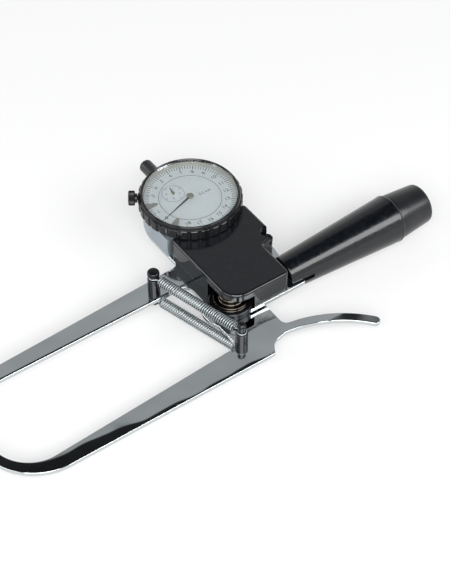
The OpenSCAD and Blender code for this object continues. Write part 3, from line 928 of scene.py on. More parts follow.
@dataclass
class ArmPlates:
    """The flat arms: fixed one with gauge base and tang, moving one with hub and finger lever."""

    edge: float = 0.4
    jaw_x: float = -154.5
    half_tip: float = 3.0
    jaw_y: float = 2.5
    fixed_in: float = 22.7
    fixed_out: float = 37.2
    moving_in: float = 25.6
    moving_out: float = 41.0
    tip_width: float = 8.0
    front: float = -11.9
    seat_radius: float = 25.6
    boss_radius: float = 12.0
    hub_radius: float = 16.4
    neck: tuple = (-14.1, 14.7)
    waist: float = -12.4
    tang_start: float = 40.5
    tang_root: float = 51.6
    shaft_hole: float = 6.0
    pin_lug: float = 4.2
    lever_centre: tuple = (6.6, -92.7)
    lever_radii: tuple = (60.5, 65.9)
    lever_turn: tuple = (85.0, 39.4)
    drive_radius: float = 17.1
    drive_turn: float = 15.0
    drive_slot: float = 2.2

    def fixed_outline(self) -> list:
        """Outline of the fixed arm, the gauge base and the tang in one."""
        inner_x, outer_x = self.jaw_x + self.half_tip, self.jaw_x - self.half_tip
        base = math.degrees(math.asin((DIAL.y - self.tang_root) / self.seat_radius))
        return rounded(
            [
                (inner_x, self.jaw_y, 0.6),
                (inner_x, self.fixed_in, 19.5),
                (self.waist, self.fixed_in, 6),
                (self.waist, -1, 1),
            ]
            + [
                (-3, -9, 1),
                (4.5, -9, 0),
                (4.5, self.front, 1),
                (self.tang_start, self.front, 1.2),
                (self.tang_start, -TANG_HALF, 0.8),
            ]
            + [
                (TANG_END, -TANG_HALF, 2),
                (TANG_END, TANG_HALF, 2),
                (self.tang_start, TANG_HALF, 0.8),
            ]
            + [(self.tang_start, 12.5, 3), (41.4, 18, 3)]
            + arc((DIAL.x, DIAL.y), self.seat_radius, -base, 180, 60)
            + [(DIAL.x - self.seat_radius, self.fixed_out, 3)]
            + [(outer_x, self.fixed_in + self.tip_width, 28), (outer_x, self.jaw_y, 0.6)]
        )

    def moving_outline(self) -> list:
        """Outline of the moving arm, the hub and the finger lever in one."""
        inner_x, outer_x = self.jaw_x + self.half_tip, self.jaw_x - self.half_tip
        low, high = self.lever_radii
        first, last = self.lever_turn
        tip_radius = (high - low) / 2
        centre = self.lever_centre
        tip = arc(centre, low + tip_radius, last, last, 1)[0]
        left, right = (math.degrees(math.acos(x / self.hub_radius)) for x in self.neck)
        return rounded(
            [(self.neck[0], -self.moving_in, 4.5), (inner_x, self.tip_width - self.moving_out, 22)]
            + [
                (inner_x, -self.jaw_y, 0.6),
                (outer_x, -self.jaw_y, 0.6),
                (outer_x, -self.moving_out, 32.4),
            ]
            + [(-0.9, -self.moving_out, 1), (2.3, -35.7, 2), (5.3, -33.9, 3)]
            + arc(centre, low, first, last, 40)
            + arc(tip, tip_radius, last - 160, last - 20, 14)
            + arc(centre, high, last, first - 8.4, 34)
            + [(self.neck[1], centre[1] + high - 0.4, 4)]
            + arc((0, 0), self.hub_radius, -right, 360 - left, 60)
        )

    def slot_outline(self) -> list:
        """Outline of the arc slot that the drive pin swings in."""
        half = self.drive_turn + 0.6
        ends = [arc((0, 0), self.drive_radius, a, a, 1)[0] for a in (half, -half)]
        return rounded(
            arc((0, 0), self.drive_radius + self.drive_slot, -half, half, 16)
            + arc(ends[0], self.drive_slot, half + 22, half + 158, 6)
            + arc((0, 0), self.drive_radius - self.drive_slot, half, -half, 16)
            + arc(ends[1], self.drive_slot, 202 - half, 338 - half, 6)
        )

    def finish(self, piece: bpy.types.Object, node: str, body: Body) -> None:
        """Rounds a plate's edges, plates it and hangs it on its body.

        Args:
            piece: The cut plate.
            node: The CAD node that it stands for.
            body: The body that carries it.
        """
        round_edges(piece, self.edge, 4)
        smooth(piece, 60, weighted=True)
        hang(piece, CHROME, body, node)

    def build(self) -> None:
        """Cuts both plates."""
        low, high = PLATE
        fixed = slab("frame_plate_chromed", self.fixed_outline(), low, high)
        holes = [((0, 0), self.boss_radius), (FIXED_POST, POST_SHANK)]
        holes += [(spot, 1.6) for spot in COVER_SCREWS]
        holes += [(SIDE_SCREW, SCREW_HOLE)] + [((x, 0), SCREW_HOLE) for x in HANDLE_PINS]
        for centre, radius in holes:
            combine(fixed, bored("hole", centre, radius, low - 1, high + 1))
        combine(fixed, slab("slot", self.slot_outline(), low - 1, high + 1))
        self.finish(fixed, "frame_plate", Body.FRAME)
        moving = slab("moving_arm_chromed", self.moving_outline(), -high, -low)
        pin = arc((0, 0), self.drive_radius, -self.drive_turn, -self.drive_turn, 1)[0][:2]
        combine(moving, bored("lug", pin, self.pin_lug, -high, -low), "UNION")
        for centre, radius in [
            ((0, 0), self.shaft_hole), (MOVING_POST, POST_SHANK), (pin, SCREW_HOLE)
        ]:
            combine(moving, bored("hole", centre, radius, -high - 1, 1 - low))
        self.finish(moving, "moving_arm", Body.ARM)


@dataclass
class MouldedCover:
    """The glossy black shell over the drive, with its seat for the gauge and its screw pocket."""

    base: float = 3.0
    top: float = 15.4
    wall: float = 1.5
    edge: float = 1.6
    left: float = -7.3
    middle: float = 30.6
    right: float = 40.8
    front: float = -10.8
    back: float = 45.5
    notch: float = 14.5
    pocket_radius: float = 4.2
    pocket_base: float = 8.2
    undercut_radius: float = 13.1
    undercut_top: float = 10.8
    boss_wall: float = 1.4
    screw_boss: float = 3.2
    screw_depth: float = 10.0
    case_radius: float = 24.9

    def outline(self, inset: float) -> list:
        """Outline of the shell, drawn in by an inset."""
        d = inset
        return rounded(
            [
                (self.left + d, self.back - d, 2.5 - d / 2),
                (self.left + d, self.front + d, 11 - d),
                (self.middle - d, self.front + d, 3 - d / 2),
                (self.middle - d, self.notch + d / 2, 3 + d / 2),
                (self.right - d, self.notch + 3 + d, 3 - d / 2),
                (self.right - d, self.back - d, 3 - d / 2),
            ],
            12,
        )

    def build(self) -> None:
        """Moulds the shell."""
        shell = slab("moulded_cover", self.outline(0), self.base, self.top)
        top = place((0, 0, self.top)).z
        bevel_edges(shell, lambda a, b: min(a.z, b.z) > top - 0.00001, self.edge, 8)
        hollow = slab("hollow", self.outline(self.wall), self.base - 1, self.top - self.wall)
        kept = [(spot, self.screw_boss, self.top) for spot in COVER_SCREWS]
        kept.append((SIDE_SCREW, self.pocket_radius + self.boss_wall, self.top))
        kept.append(
            ((0, 0), self.undercut_radius + self.boss_wall, self.undercut_top + self.boss_wall)
        )
        for spot, radius, height in kept:
            combine(hollow, bored("kept", spot, radius, self.base - 2, height))
        combine(shell, hollow)
        cuts = [((DIAL.x, DIAL.y), self.case_radius, self.base - 1, self.top + 1)]
        cuts.append(((0, 0), self.undercut_radius, self.base - 1, self.undercut_top))
        cuts.append((SIDE_SCREW, self.pocket_radius, self.pocket_base, self.top + 1))
        cuts.append((SIDE_SCREW, SCREW_HOLE, self.base - 1, self.top))
        cuts += [(spot, SCREW_HOLE, self.base - 1, self.screw_depth) for spot in COVER_SCREWS]
        for spot, radius, low, high in cuts:
            combine(shell, bored("cut", spot, radius, low, high, 128))
        round_edges(shell, 0.25, 2, 50)
        smooth(shell, 40, weighted=True)
        hang(shell, BLACK_ENAMEL, Body.FRAME, "housing_cover")


@dataclass
class TurnedHandle:
    """The black handle: a glossy grip with a rounded shoulder and a satin end cap."""

    start: float = 33.5
    end: float = 107.6
    height: float = 1.75
    thin: float = 9.7
    thick: float = 13.85
    bore: float = 8.0
    bore_depth: float = 14.0
    cap_length: float = 21.5
    slot_end: float = 47.6

    def grip_profile(self) -> list:
        """Half section of the grip along its axis."""
        shoulder = [
            (self.end - 2.2, self.thick - 0.12),
            (self.end - 1.4, self.thick),
            (self.end - 0.9, self.thick),
        ]
        rim = [
            (self.end - 0.4, self.thick - 0.2),
            (self.end - 0.1, self.thick - 0.5),
            (self.end, self.thick - 0.9),
        ]
        taper = [
            (
                self.start + 1.1 + (self.end - self.start - 3.3) * t,
                self.thin + (self.thick - self.thin - 0.15) * t,
            )
            for t in (k / 12 for k in range(13))
        ]
        mouth = [
            (self.start, 0), (self.start, self.thin - 1.1), (self.start + 0.3, self.thin - 0.5)
        ]
        hollow = [
            (self.end, self.bore),
            (self.end - self.bore_depth, self.bore),
            (self.end - self.bore_depth, 0),
        ]
        return mouth + [(self.start + 0.6, self.thin - 0.15)] + taper + shoulder + rim + hollow

    def cap_profile(self) -> list:
        """Half section of the end cap and of its plug in the grip's bore."""
        far = self.end + self.cap_length
        plug = [
            (self.end - self.bore_depth + 2, 0), (self.end - self.bore_depth + 2, self.bore - 1)
        ]
        plug += [(self.end - self.bore_depth + 3, self.bore), (self.end, self.bore)]
        skirt = [
            (self.end, self.thick - 1.6),
            (self.end + 0.2, self.thick - 1.1),
            (self.end + 0.8, self.thick - 0.8),
        ]
        body = [
            (self.end + 0.8 + (self.cap_length - 2.8) * t, self.thick - 0.8 - 1.6 * t)
            for t in (0.25, 0.5, 0.75, 1)
        ]
        edge = [(far - 1.2, 11.25), (far - 0.6, 10.8), (far - 0.2, 10.3), (far, 9.7), (far, 0)]
        return plug + skirt + body + edge

    def build(self) -> None:
        """Turns the grip and the cap."""
        centre, axis = place((0, 0, self.height)), Vector((1, 0, 0))
        grip = turned("turned_grip", self.grip_profile(), centre, axis, 128)
        first, last, half = self.start, TANG_END, TANG_HALF
        low, high = PLATE
        slot = [
            (self.start - 1, -20), (self.slot_end, -20), (self.slot_end, 20), (self.start - 1, 20)
        ]
        combine(grip, slab("slot", slot, low - 0.05, high + 0.05))
        combine(
            grip,
            slab("tang", [(first, -half), (last, -half), (last, half), (first, half)], low, high),
        )
        for spot in HANDLE_PINS:
            combine(grip, bored("pin", (spot, 0), SCREW_HOLE, -7.6, 5.6, 32))
        cap = turned("turned_end_cap", self.cap_profile(), centre, axis, 128)
        for piece in (grip, cap):
            smooth(piece, 40, weighted=True)
        hang(grip, BLACK_HANDLE, Body.FRAME, "handle_grip")
        hang(cap, BLACK_CAP, Body.FRAME, "handle_end_cap")


@dataclass
class FlangedShaft:
    """The pivot's journal with its flange under the moving arm and the thread end above the nut."""

    flange: float = 6.6
    low: float = -4.6
    seat: float = 6.0
    journal: float = 4.0
    thread: float = 2.9

    def build(self) -> None:
        """Turns the shaft."""
        low, flange = self.low, self.flange
        top, bottom = (-z for z in PLATE)
        profile = [
            (low, 0),
            (low, flange - 0.5),
            (low + 0.15, flange - 0.15),
            (low + 0.5, flange),
            (bottom, flange),
        ]
        profile += [
            (bottom, self.seat),
            (top, self.seat),
            (top, 5.0),
            (top + 0.1, 5.0),
            (top + 0.1, self.journal),
        ]
        profile += [
            (3.95, self.journal),
            (3.95, self.thread),
            (8.9, self.thread),
            (9.2, self.thread - 0.4),
            (9.2, 0),
        ]
        shaft = turned("pivot_shaft_turned", profile, place((0, 0, 0)), UP, 96)
        smooth(shaft, 35)
        hang(shaft, BLACK_OXIDE, Body.ARM, "pivot_shaft")


@dataclass
class LockNut:
    """The round nut on the pivot, under the cover's front corner: browned steel with two grooves."""

    low: float = 4.4
    high: float = 8.6
    step: float = 5.7
    radius: float = 9.4
    neck: float = 6.6
    bore: float = 2.95
    seat: float = 5.0

    def build(self) -> None:
        """Turns the nut."""
        r, n, low, step, high = self.radius, self.neck, self.low, self.step, self.high
        profile = [
            (low, self.bore),
            (low, self.seat),
            (low + 0.05, r - 0.3),
            (low + 0.2, r),
            (low + 0.5, r),
        ]
        profile += [(low + 0.6, r - 0.25), (low + 0.75, r - 0.25), (low + 0.85, r), (step - 0.2, r)]
        profile += [
            (step, r - 0.2),
            (step, n + 0.3),
            (step + 0.3, n),
            (step + 1.1, n),
            (step + 1.25, n - 0.3),
        ]
        profile += [(step + 1.5, n - 0.3), (step + 1.65, n), (high - 0.3, n)]
        profile += [(high, n - 0.3), (high, self.bore), (low, self.bore)]
        nut = turned("round_lock_nut", profile, place((0, 0, 0)), UP, 96)
        smooth(nut, 35)
        hang(nut, BROWNED_STEEL, Body.ARM, "pivot_nut")


@dataclass
class Hands:
    """The gauge's two hands: a long lacquered one without a tail and the counter's short one."""

    height: float = 20.9
    sheet: float = 0.25
    turn: float = 197.8
    length: float = 22.4
    hub: float = 1.5
    counter_turn: float = 80.6
    counter_height: float = 20.5
    counter_length: float = 4.6

    def hand(
        self,
        name: str,
        centre: Sequence[float],
        low: float,
        turn: float,
        outline: Sequence[tuple],
        bore: float,
    ) -> bpy.types.Object:
        """Stamps one hand from sheet.

        Args:
            name: Name of the piece.
            centre: Its axis, from the pivot.
            low: Height of its underside.
            turn: Its direction in degrees.
            outline: Its corners, pointing along +X.
            bore: Radius of its hole.

        Returns:
            The hand.
        """
        c, q = math.cos(math.radians(turn)), math.sin(math.radians(turn))
        points = [(centre[0] + c * x - q * y, centre[1] + q * x + c * y) for x, y, _ in outline]
        piece = slab(name, points, low, low + self.sheet)
        combine(piece, bored("bore", centre, bore, low - 1, low + 1, 32))
        smooth(piece, 35)
        return piece

    def build(self) -> None:
        """Stamps both hands."""
        around = arc((0, 0), self.hub, 20, 340, 24)
        blade = [
            (5.0, -0.42, 0),
            (14.0, -0.22, 0),
            (self.length, -0.08, 0),
            (self.length, 0.08, 0),
            (14.0, 0.22, 0),
        ]
        centre = (DIAL.x, DIAL.y)
        main = self.hand(
            "long_hand", centre, self.height, self.turn, around + blade + [(5.0, 0.42, 0)], 0.6
        )
        around = arc((0, 0), 0.75, 25, 335, 16)
        blade = [(self.counter_length, -0.14, 0), (self.counter_length, 0.14, 0)]
        spot = (DIAL.x + COUNTER_CENTRE[0], DIAL.y + COUNTER_CENTRE[1])
        small = self.hand(
            "counter_hand", spot, self.counter_height, self.counter_turn, around + blade, 0.01
        )
        arbor = turned(
            "counter_arbor",
            [
                (14.0, 0),
                (14.0, 0.5),
                (20.3, 0.5),
                (20.3, 0.9),
                (20.9, 0.9),
                (21.0, 0.75),
                (21.0, 0),
            ],
            place((*spot, 0)),
            UP,
            32,
        )
        smooth(arbor, 35)
        hang(main, POINTER_BLACK, Body.POINTER, "main_pointer")
        hang(small, POINTER_BLACK, Body.COUNTER, "counter_pointer")
        hang(arbor, PALE_BRASS, Body.COUNTER, "counter_pointer")


@dataclass
class GaugeTrim:
    """The gauge's black trim: scalloped bezel, knurled thumb screw and spindle cap."""

    rim_inner: float = 25.95
    rim_top: float = 23.15
    screw_turn: float = 145.0
    screw_height: float = 19.7
    knob_radius: float = 4.1
    knurls: int = 28
    knurl_depth: float = 0.92
    spindle_height: float = 9.8
    cap_radius: float = 3.9
    cap_end: float = 107.0

    def bezel(self) -> None:
        """Softens the bezel's edges and paints the wall under the glass."""
        piece = copy_node("bezel", "bezel_anodised")
        round_edges(piece, 0.12, 2, 35)
        smooth(piece, 35, weighted=True)
        hang(piece, BEZEL_BLACK, Body.BEZEL, "bezel")
        piece.data.materials.append(RIM_PAINT.material())
        centre = place(DIAL)
        for face in piece.data.polygons:
            out = face.center - centre
            flat = Vector((out.x, out.y, 0))
            below = flat.length < self.rim_inner * MM and out.z < self.rim_top * MM
            if below and face.normal.dot(flat) < 0:
                face.material_index = 1

    def knob(self) -> None:
        """Turns the thumb screw and presses its straight knurl."""
        r = self.knob_radius
        profile = [
            (26.15, 0),
            (26.15, 1.2),
            (28.6, 1.2),
            (28.8, 2.6),
            (29.9, 2.6),
            (30.0, r - 0.5),
            (30.2, r - 0.15),
        ]
        profile += [
            (30.5, r),
            (33.0, r),
            (33.3, r - 0.15),
            (33.5, r - 0.5),
            (33.6, r - 1.0),
            (33.4, 1.6),
            (33.4, 0),
        ]
        piece = turned(
            "thumb_screw", profile, Vector((0, 0, 0)), Vector((1, 0, 0)), self.knurls * 2
        )
        step = math.pi / self.knurls
        vertices = piece.data.vertices
        select_only(piece)
        bpy.ops.object.mode_set(mode="EDIT")
        bpy.ops.mesh.select_mode(type="VERT")
        bpy.ops.mesh.select_all(action="DESELECT")
        bpy.ops.object.mode_set(mode="OBJECT")
        for vertex in vertices:
            column = round(math.atan2(vertex.co.z, vertex.co.y) / step)
            vertex.select = column % 2 == 1 and math.hypot(
                vertex.co.y, vertex.co.z
            ) > (r - 0.6) * MM
        bpy.ops.object.mode_set(mode="EDIT")
        bpy.ops.transform.resize(
            value=(1, self.knurl_depth, self.knurl_depth), center_override=(0, 0, 0)
        )
        bpy.ops.object.mode_set(mode="OBJECT")
        piece.location = place(DIAL + Vector((0, 0, self.screw_height)))
        piece.rotation_euler = (0, 0, math.radians(self.screw_turn))
        settle(piece, "thumb_screw")
        smooth(piece, 30)
        hang(piece, KNURLED_BLACK, Body.CLAMP, "bezel_screw")

    def spindle_cap(self) -> None:
        """Turns the cap that covers the spindle's end."""
        r, far = self.cap_radius, self.cap_end - DIAL.y
        profile = [
            (22.1, 2.6), (22.1, 4.0), (26.2, 4.0), (26.2, r + 0.5), (26.4, r + 0.6), (27.6, r + 0.6)
        ]
        profile += [(28.1, r + 0.5), (28.5, r + 0.15), (28.9, r)]
        profile += [
            (far - 1.9 + 1.9 * math.sin(t), r - 1.9 + 1.9 * math.cos(t)) for t in (
                k * math.pi / 16 for k in range(9)
            )
        ]
        profile += [(far, 0), (far - 2, 0), (far - 2, 2.6)]
        centre = place(Vector((DIAL.x, DIAL.y, self.spindle_height)))
        piece = turned("spindle_end_cap", profile + [profile[0]], centre, Vector((0, 1, 0)), 96)
        smooth(piece, 35)
        hang(piece, BLACK_SATIN, Body.FRAME, "spindle_cap")

    def build(self) -> None:
        """Builds the three pieces."""
        self.bezel()
        self.knob()
        self.spindle_cap()


@dataclass
class FixedPost:
    """The black grooved stud through the fixed arm, with grooves higher than the moving one's."""

    lift: float = 3.5
    radius: float = 3.3
    groove: float = 1.6
    hook: float = 7.4
    top: float = 11.8

    def half(self, plate_face: float) -> list:
        """Heights above the stud's middle and radii, from its end to a face of the plate."""
        r, g, h, t = self.radius, self.groove, self.hook, self.top
        head = [
            (t, 0),
            (t, r - 1.1),
            (t - 0.15, r - 0.7),
            (t - 0.5, r - 0.25),
            (t - 1.0, r),
            (h + 1.7, r),
        ]
        groove = [
            (h + 1.3, r - 0.3),
            (h + 0.9, 2.3),
            (h + 0.7, g),
            (h - 0.7, g),
            (h - 0.8, r - 0.3),
            (h - 1.1, r),
        ]
        return head + groove + [(plate_face, r), (plate_face, POST_SHANK)]

    def build(self) -> None:
        """Turns the stud."""
        low, high = PLATE
        above = [(z + self.lift, r) for z, r in self.half(high - self.lift)]
        below = [(self.lift - z, r) for z, r in self.half(self.lift - low)]
        profile = above + below[::-1]
        post = turned("fixed_post_turned", profile[::-1], place((*FIXED_POST, 0)), UP, 64)
        smooth(post, 35)
        hang(post, BLACK_OXIDE, Body.FRAME, "fixed_spring_post")


@dataclass
class SpringPair:
    """The two tension springs, each one wire from hook to hook."""

    height: float = 7.4
    upper_lift: float = 3.5
    lower_lift: float = 2.4
    curls: int = 36
    curl_radius: float = 2.5
    wire: float = 0.9
    coil_length: float = 48.0
    hook_radius: float = 2.4
    closing: float = 0.8
    points_per_curl: int = 20

    @staticmethod
    def ease(t: float) -> float:
        """Smooth step from 0 to 1."""
        return t * t * (3 - 2 * t)

    def hook(self, inward: float, lead: float) -> list:
        """Centreline of the closing curl and of the hook, seen from its post.

        Args:
            inward: Where the straight start of the hook lies, from the post.
            lead: Length of the closing curl.

        Returns:
            Points from the coil outwards.
        """
        points = []
        for i in range(1, 18):
            t = i / 18
            radius, angle = self.curl_radius * (1 - self.ease(t)), math.tau * self.closing * t
            along = lead * (t - 1) - inward
            points.append(Vector((along, radius * math.sin(angle), radius * math.cos(angle))))
        for i in range(13):
            t = i / 12
            points.append(Vector((inward * (t - 1), self.hook_radius * self.ease(t), 0)))
        for i in range(1, 45):
            angle = math.radians(90 - 5 * i)
            points.append(
                Vector((self.hook_radius * math.cos(angle), self.hook_radius * math.sin(angle), 0))
            )
        return points

    def centreline(self, lift: float) -> list:
        """Gives the centreline along the spring's own axis, from the fixed post at 0.

        Args:
            lift: How much higher the fixed end stands.

        Returns:
            Its points in millimetres.
        """
        span = (Vector((*MOVING_POST, 0)) - Vector((*FIXED_POST, lift))).length
        start = (span - self.coil_length) / 2
        pitch = self.coil_length / self.curls
        lead = self.closing * pitch + 0.3
        far = [p + Vector((span, 0, 0)) for p in self.hook(start - lead, lead)]
        near = [Vector((span - p.x, -p.y, p.z)) for p in reversed(far)]
        steps = self.curls * self.points_per_curl
        coil = [
            Vector(
                (
                    start + self.coil_length * i / steps,
                    self.curl_radius * math.sin(math.tau * i / self.points_per_curl),
                    self.curl_radius * math.cos(math.tau * i / self.points_per_curl),
                )
            )
            for i in range(steps + 1)
        ]
        return near + coil + far

    def wind(self, name: str, height: float, lift: float) -> bpy.types.Object:
        """Winds one spring.

        Args:
            name: The CAD node that it stands for.
            height: Height of its moving end.
            lift: How much higher the fixed end stands.

        Returns:
            The finished spring.
        """
        line = bpy.data.curves.new(name, "CURVE")
        line.dimensions = "3D"
        spline = line.splines.new("POLY")
        points = self.centreline(lift)
        spline.points.add(len(points) - 1)
        for target, point in zip(spline.points, points):
            target.co = (*(point * MM), 1)
        line.bevel_depth = self.wire / 2 * MM
        line.bevel_resolution = 3
        line.use_fill_caps = True
        piece = bpy.data.objects.new(name, line)
        bpy.context.scene.collection.objects.link(piece)
        select_only(piece)
        bpy.ops.object.convert(target="MESH")
        piece = bpy.context.view_layer.objects.active
        run = Vector(MOVING_POST) - Vector(FIXED_POST)
        piece.location = place((*FIXED_POST, height + lift))
        piece.rotation_euler = (0, math.atan2(lift, run.length), math.atan2(run.y, run.x))
        settle(piece, name + "_wire")
        smooth(piece, 60)
        dress(piece, ZINC_WIRE)
        return piece

    def build(self) -> None:
        """Winds both springs and hangs them between the posts."""
        for name, side, lift in (
            ("upper_spring", 1, self.upper_lift), ("lower_spring", -1, self.lower_lift)
        ):
            height = side * self.height
            piece = self.wind(name, height, lift)
            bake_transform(piece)
            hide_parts(name)
            LOG.info("%s: %d curls of %.1f mm wire", piece.name, self.curls, self.wire)


@dataclass
class DialPrint:
    """Graduations and figures printed on the dial's two parts."""

    face: float = 20.0
    ink: float = 0.03
    zero: float = 196.0
    divisions: int = 100
    tick_outer: float = 24.9
    tick_inner: float = 22.6
    five_inner: float = 22.0
    figure_radius: float = 20.1
    figure_size: float = 3.3
    circle_radius: float = 17.2
    tick_width: float = 0.36
    five_width: float = 0.46
    circle_width: float = 0.24
    counter_radius: float = 6.2
    counter_line: float = 0.14
    counter_tick: float = 1.7
    counter_tick_width: float = 0.22
    counter_figure: float = 1.7
    counter_figure_radius: float = 3.6
    label_size: float = 2.4
    label_spot: tuple = (9.0, -1.0)

    def spot(self, radius: float, angle: float, offset: Sequence[float] = (0, 0)) -> Vector:
        """A point on the dial's face in metres, from its radius and angle in degrees."""
        turn = math.radians(angle)
        flat = Vector(
            (offset[0] + radius * math.cos(turn), offset[1] + radius * math.sin(turn), self.face)
        )
        return place(DIAL + flat)

    def bar(
        self,
        inner: float,
        outer: float,
        width: float,
        angle: float,
        offset: Sequence[float] = (0, 0),
    ) -> bpy.types.Object:
        """Models one radial line of ink.

        Args:
            inner: Where the line starts, from the centre.
            outer: Where it ends.
            width: Its width at the outer end; the inner end is a quarter narrower.
            angle: Its direction in degrees.
            offset: Its centre, from the dial's.

        Returns:
            The line as a thin solid.
        """
        bpy.ops.object.select_all(action="DESELECT")
        bpy.ops.mesh.primitive_plane_add(size=1, location=(0, 0, 0))
        piece = bpy.context.view_layer.objects.active
        for vertex in piece.data.vertices:
            side = 1 if vertex.co.y > 0 else -1
            far = vertex.co.x > 0
            vertex.co = (
                (outer if far else inner) * MM, side * width * (0.5 if far else 0.38) * MM, 0
            )
        self.thicken(piece)
        piece.location = self.spot(0, 0, offset)
        piece.rotation_euler = (0, 0, math.radians(angle))
        return settle(piece, "line")

    def thicken(self, piece: bpy.types.Object) -> None:
        """Extrudes flat ink up from the face by its thickness."""
        select_only(piece)
        bpy.ops.object.mode_set(mode="EDIT")
        bpy.ops.mesh.select_all(action="SELECT")
        bpy.ops.mesh.extrude_region_move(TRANSFORM_OT_translate={"value": (0, 0, self.ink * MM)})
        bpy.ops.mesh.select_all(action="SELECT")
        bpy.ops.mesh.normals_make_consistent(inside=False)
        bpy.ops.object.mode_set(mode="OBJECT")

    def loop(
        self, radius: float, width: float, offset: Sequence[float] = (0, 0), sides: int = 96
    ) -> bpy.types.Object:
        """Models one printed circle.

        Args:
            radius: Its radius.
            width: Width of its line.
            offset: Its centre, from the dial's.
            sides: Sides of the circle.

        Returns:
            The circle as a thin solid.
        """
        bpy.ops.object.select_all(action="DESELECT")
        bpy.ops.mesh.primitive_circle_add(vertices=sides, radius=(radius - width / 2) * MM)
        piece = bpy.context.view_layer.objects.active
        bpy.ops.object.mode_set(mode="EDIT")
        bpy.ops.mesh.select_all(action="SELECT")
        bpy.ops.mesh.extrude_edges_move()
        scale = (radius + width / 2) / (radius - width / 2)
        bpy.ops.transform.resize(value=(scale, scale, 1))
        bpy.ops.object.mode_set(mode="OBJECT")
        self.thicken(piece)
        piece.location = self.spot(0, 0, offset)
        return settle(piece, "circle")

    def figure(self, text: str, size: float, centre: Vector) -> bpy.types.Object:
        """Sets one figure upright on the face.

        Args:
            text: What it reads.
            size: Height of its line.
            centre: Its middle in metres.

        Returns:
            The figure as a thin solid.
        """
        bpy.ops.object.select_all(action="DESELECT")
        bpy.ops.object.text_add(location=(0, 0, 0))
        piece = bpy.context.view_layer.objects.active
        piece.data.body = text
        piece.data.size = size * MM
        piece.data.align_x, piece.data.align_y = "CENTER", "CENTER"
        piece.data.extrude = self.ink / 2 * MM
        piece.data.resolution_u = 3
        bpy.ops.object.convert(target="MESH")
        piece = bpy.context.view_layer.objects.active
        piece.location = centre + Vector((0, 0, self.ink / 2 * MM))
        return settle(piece, "figure")

    def build_ring(self) -> None:
        """Prints the turning ring: a hundred lines and their figures."""
        step = -math.tau / self.divisions
        centre = place(DIAL + Vector((0, 0, self.face)))
        short = self.bar(self.tick_inner, self.tick_outer, self.tick_width, self.zero)
        long = self.bar(self.five_inner, self.tick_outer, self.five_width, self.zero)
        lines = ring_of(short, self.divisions, centre, step, lambda i: i % 5 != 0)
        lines += ring_of(long, self.divisions, centre, step, lambda i: i % 5 == 0)
        count = self.divisions // 5
        figures = [
            self.figure(
                str(i), self.figure_size, self.spot(self.figure_radius, self.zero - 360 / count * i)
            )
            for i in range(count)
        ]
        piece = join(
            lines + figures + [self.loop(self.circle_radius, self.circle_width)], "dial_ring_print"
        )
        hang(piece, DIAL_INK, Body.BEZEL, None)

    def build_centre(self) -> None:
        """Prints the fixed centre: its circle, the turn counter and the graduation."""
        parts = [self.loop(self.counter_radius, self.counter_line, COUNTER_CENTRE, 64)]
        middle = Vector((*COUNTER_CENTRE, 0))
        for i in range(4):
            angle = self.zero - 90 * i
            inner = self.counter_radius - self.counter_tick
            parts.append(
                self.bar(inner, self.counter_radius, self.counter_tick_width, angle, COUNTER_CENTRE)
            )
            spot = place(DIAL + middle + Vector((0, 0, self.face)))
            turn = math.radians(angle - 45)
            spot += Vector((math.cos(turn), math.sin(turn), 0)) * self.counter_figure_radius * MM
            parts.append(self.figure(str(i), self.counter_figure, spot))
        label = place(DIAL + Vector((*self.label_spot, self.face)))
        parts.append(self.figure("0.2 mm", self.label_size, label))
        piece = join(parts, "dial_centre_print")
        hang(piece, DIAL_INK, Body.FRAME, None)

    def build(self) -> None:
        """Prints both parts of the dial."""
        self.build_ring()
        self.build_centre()


# ---------------------------------------------------------------- studio


@dataclass
class Softbox:
    """One soft light: where it stands, how wide and how strong it is."""

    name: str
    direction: tuple
    distance: float
    size: tuple
    power: float
    colour: str = "FFFFFF"

    def build(self, target: Vector) -> None:
        """Hangs the light so that it faces the object.

        Args:
            target: The point it faces, in metres.
        """
        light = bpy.data.lights.new(self.name, "AREA")
        light.shape = "RECTANGLE"
        light.size, light.size_y = self.size
        light.energy = self.power
        light.color = linear(self.colour)[:3]
        lamp = bpy.data.objects.new(self.name, light)
        bpy.context.scene.collection.objects.link(lamp)
        away = Vector(self.direction).normalized()
        lamp.location = target + away * self.distance
        lamp.rotation_euler = away.to_track_quat("Z", "Y").to_euler()


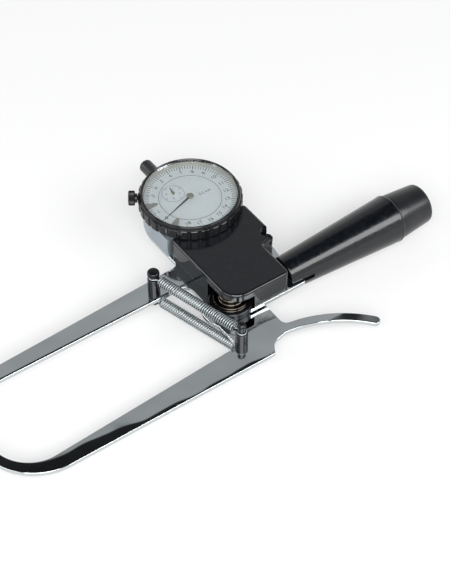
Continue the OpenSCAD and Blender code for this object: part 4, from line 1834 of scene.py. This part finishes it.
@dataclass
class Studio:
    """Pale floor, soft lights and the camera at the photograph's angle."""

    focal_px: float = 1900.0
    width_px: float = 450.0
    azimuth: float = 35.4
    elevation: float = 46.8
    look_at: tuple = (6.81, 15.02, 0.0)
    distance: float = 1014.6
    floor_z: float = -13.05
    floor_size: float = 3000.0
    sensor_mm: float = 36.0
    lights: tuple = (
        Softbox("key", (0.40, -0.69, 0.60), 1.5, (1.0, 0.55), 12),
        Softbox("behind_camera", (-0.40, -0.60, 0.70), 1.7, (1.2, 1.0), 33),
        Softbox("fill_left", (-0.80, -0.10, 0.56), 1.5, (0.8, 0.6), 4.5),
        Softbox("back_left", (-0.73, 0.56, 0.40), 1.5, (0.7, 0.4), 4.5),
    )

    def build_floor(self) -> None:
        """Lays a pale matt floor that runs far past the view."""
        bpy.ops.object.select_all(action="DESELECT")
        bpy.ops.mesh.primitive_plane_add(
            size=self.floor_size * MM, location=place((0, 0, self.floor_z))
        )
        floor = settle(bpy.context.view_layer.objects.active, "floor")
        dress(floor, PALE_FLOOR)

    def build_world(self) -> None:
        """Makes a plain grey surround, light at the horizon and dark overhead."""
        world = bpy.data.worlds.new("studio")
        bpy.context.scene.world = world
        world.use_nodes = True
        tree = world.node_tree
        tree.nodes.clear()
        where = add_node(tree, "ShaderNodeTexCoord")
        parts = add_node(
            tree, "ShaderNodeSeparateXYZ", links={"Vector": where.outputs["Generated"]}
        )
        shade = add_node(
            tree,
            "ShaderNodeValToRGB",
            links={"Fac": parts.outputs["Z"]},
            stops=[
                (0.0, (1.0, 1.0, 1.0, 1)),
                (0.35, (0.9, 0.9, 0.9, 1)),
                (0.55, (0.56, 0.57, 0.58, 1)),
                (0.7, (0.50, 0.51, 0.525, 1)),
                (0.79, (0.42, 0.43, 0.44, 1)),
                (0.84, (0.03, 0.03, 0.032, 1)),
                (0.95, (0.012, 0.012, 0.014, 1)),
            ],
        )
        sky = add_node(
            tree, "ShaderNodeBackground", {"Strength": 1.0}, {"Color": shade.outputs["Color"]}
        )
        add_node(tree, "ShaderNodeOutputWorld", links={"Surface": sky.outputs["Background"]})

    def build_camera(self) -> None:
        """Stands the camera where the photograph was taken."""
        lens = bpy.data.cameras.new("camera")
        lens.sensor_fit = "HORIZONTAL"
        lens.sensor_width = self.sensor_mm
        lens.lens = self.focal_px / self.width_px * self.sensor_mm
        lens.clip_start, lens.clip_end = 0.01, 20.0
        camera = bpy.data.objects.new("camera", lens)
        bpy.context.scene.collection.objects.link(camera)
        a, e = math.radians(self.azimuth), math.radians(self.elevation)
        ahead = Vector((math.sin(a) * math.cos(e), math.cos(a) * math.cos(e), -math.sin(e)))
        camera.location = place(self.look_at) - ahead * self.distance * MM
        camera.rotation_euler = (-ahead).to_track_quat("Z", "Y").to_euler()
        bpy.context.scene.camera = camera

    def build(self) -> None:
        """Builds the whole studio."""
        self.build_floor()
        self.build_world()
        for light in self.lights:
            light.build(place(self.look_at))
        self.build_camera()
        bpy.context.scene.view_settings.view_transform = "Standard"
        LOG.info("studio with %d lights", len(self.lights))


def write_sizes() -> None:
    """Updates the view layer."""
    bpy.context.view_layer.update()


def main() -> None:
    """Builds the caliper's looks in order."""
    logging.basicConfig(level=logging.INFO, format="%(name)s: %(message)s")
    parts = (CarriedNodes(), ArmPlates(), MouldedCover(), TurnedHandle(), GaugeTrim(), Hands())
    parts += (FlangedShaft(), LockNut(), FixedPost())
    for part in (*parts, SpringPair(), DialPrint(), Studio()):
        part.build()
    write_sizes()


if __name__ == "__main__":
    main()
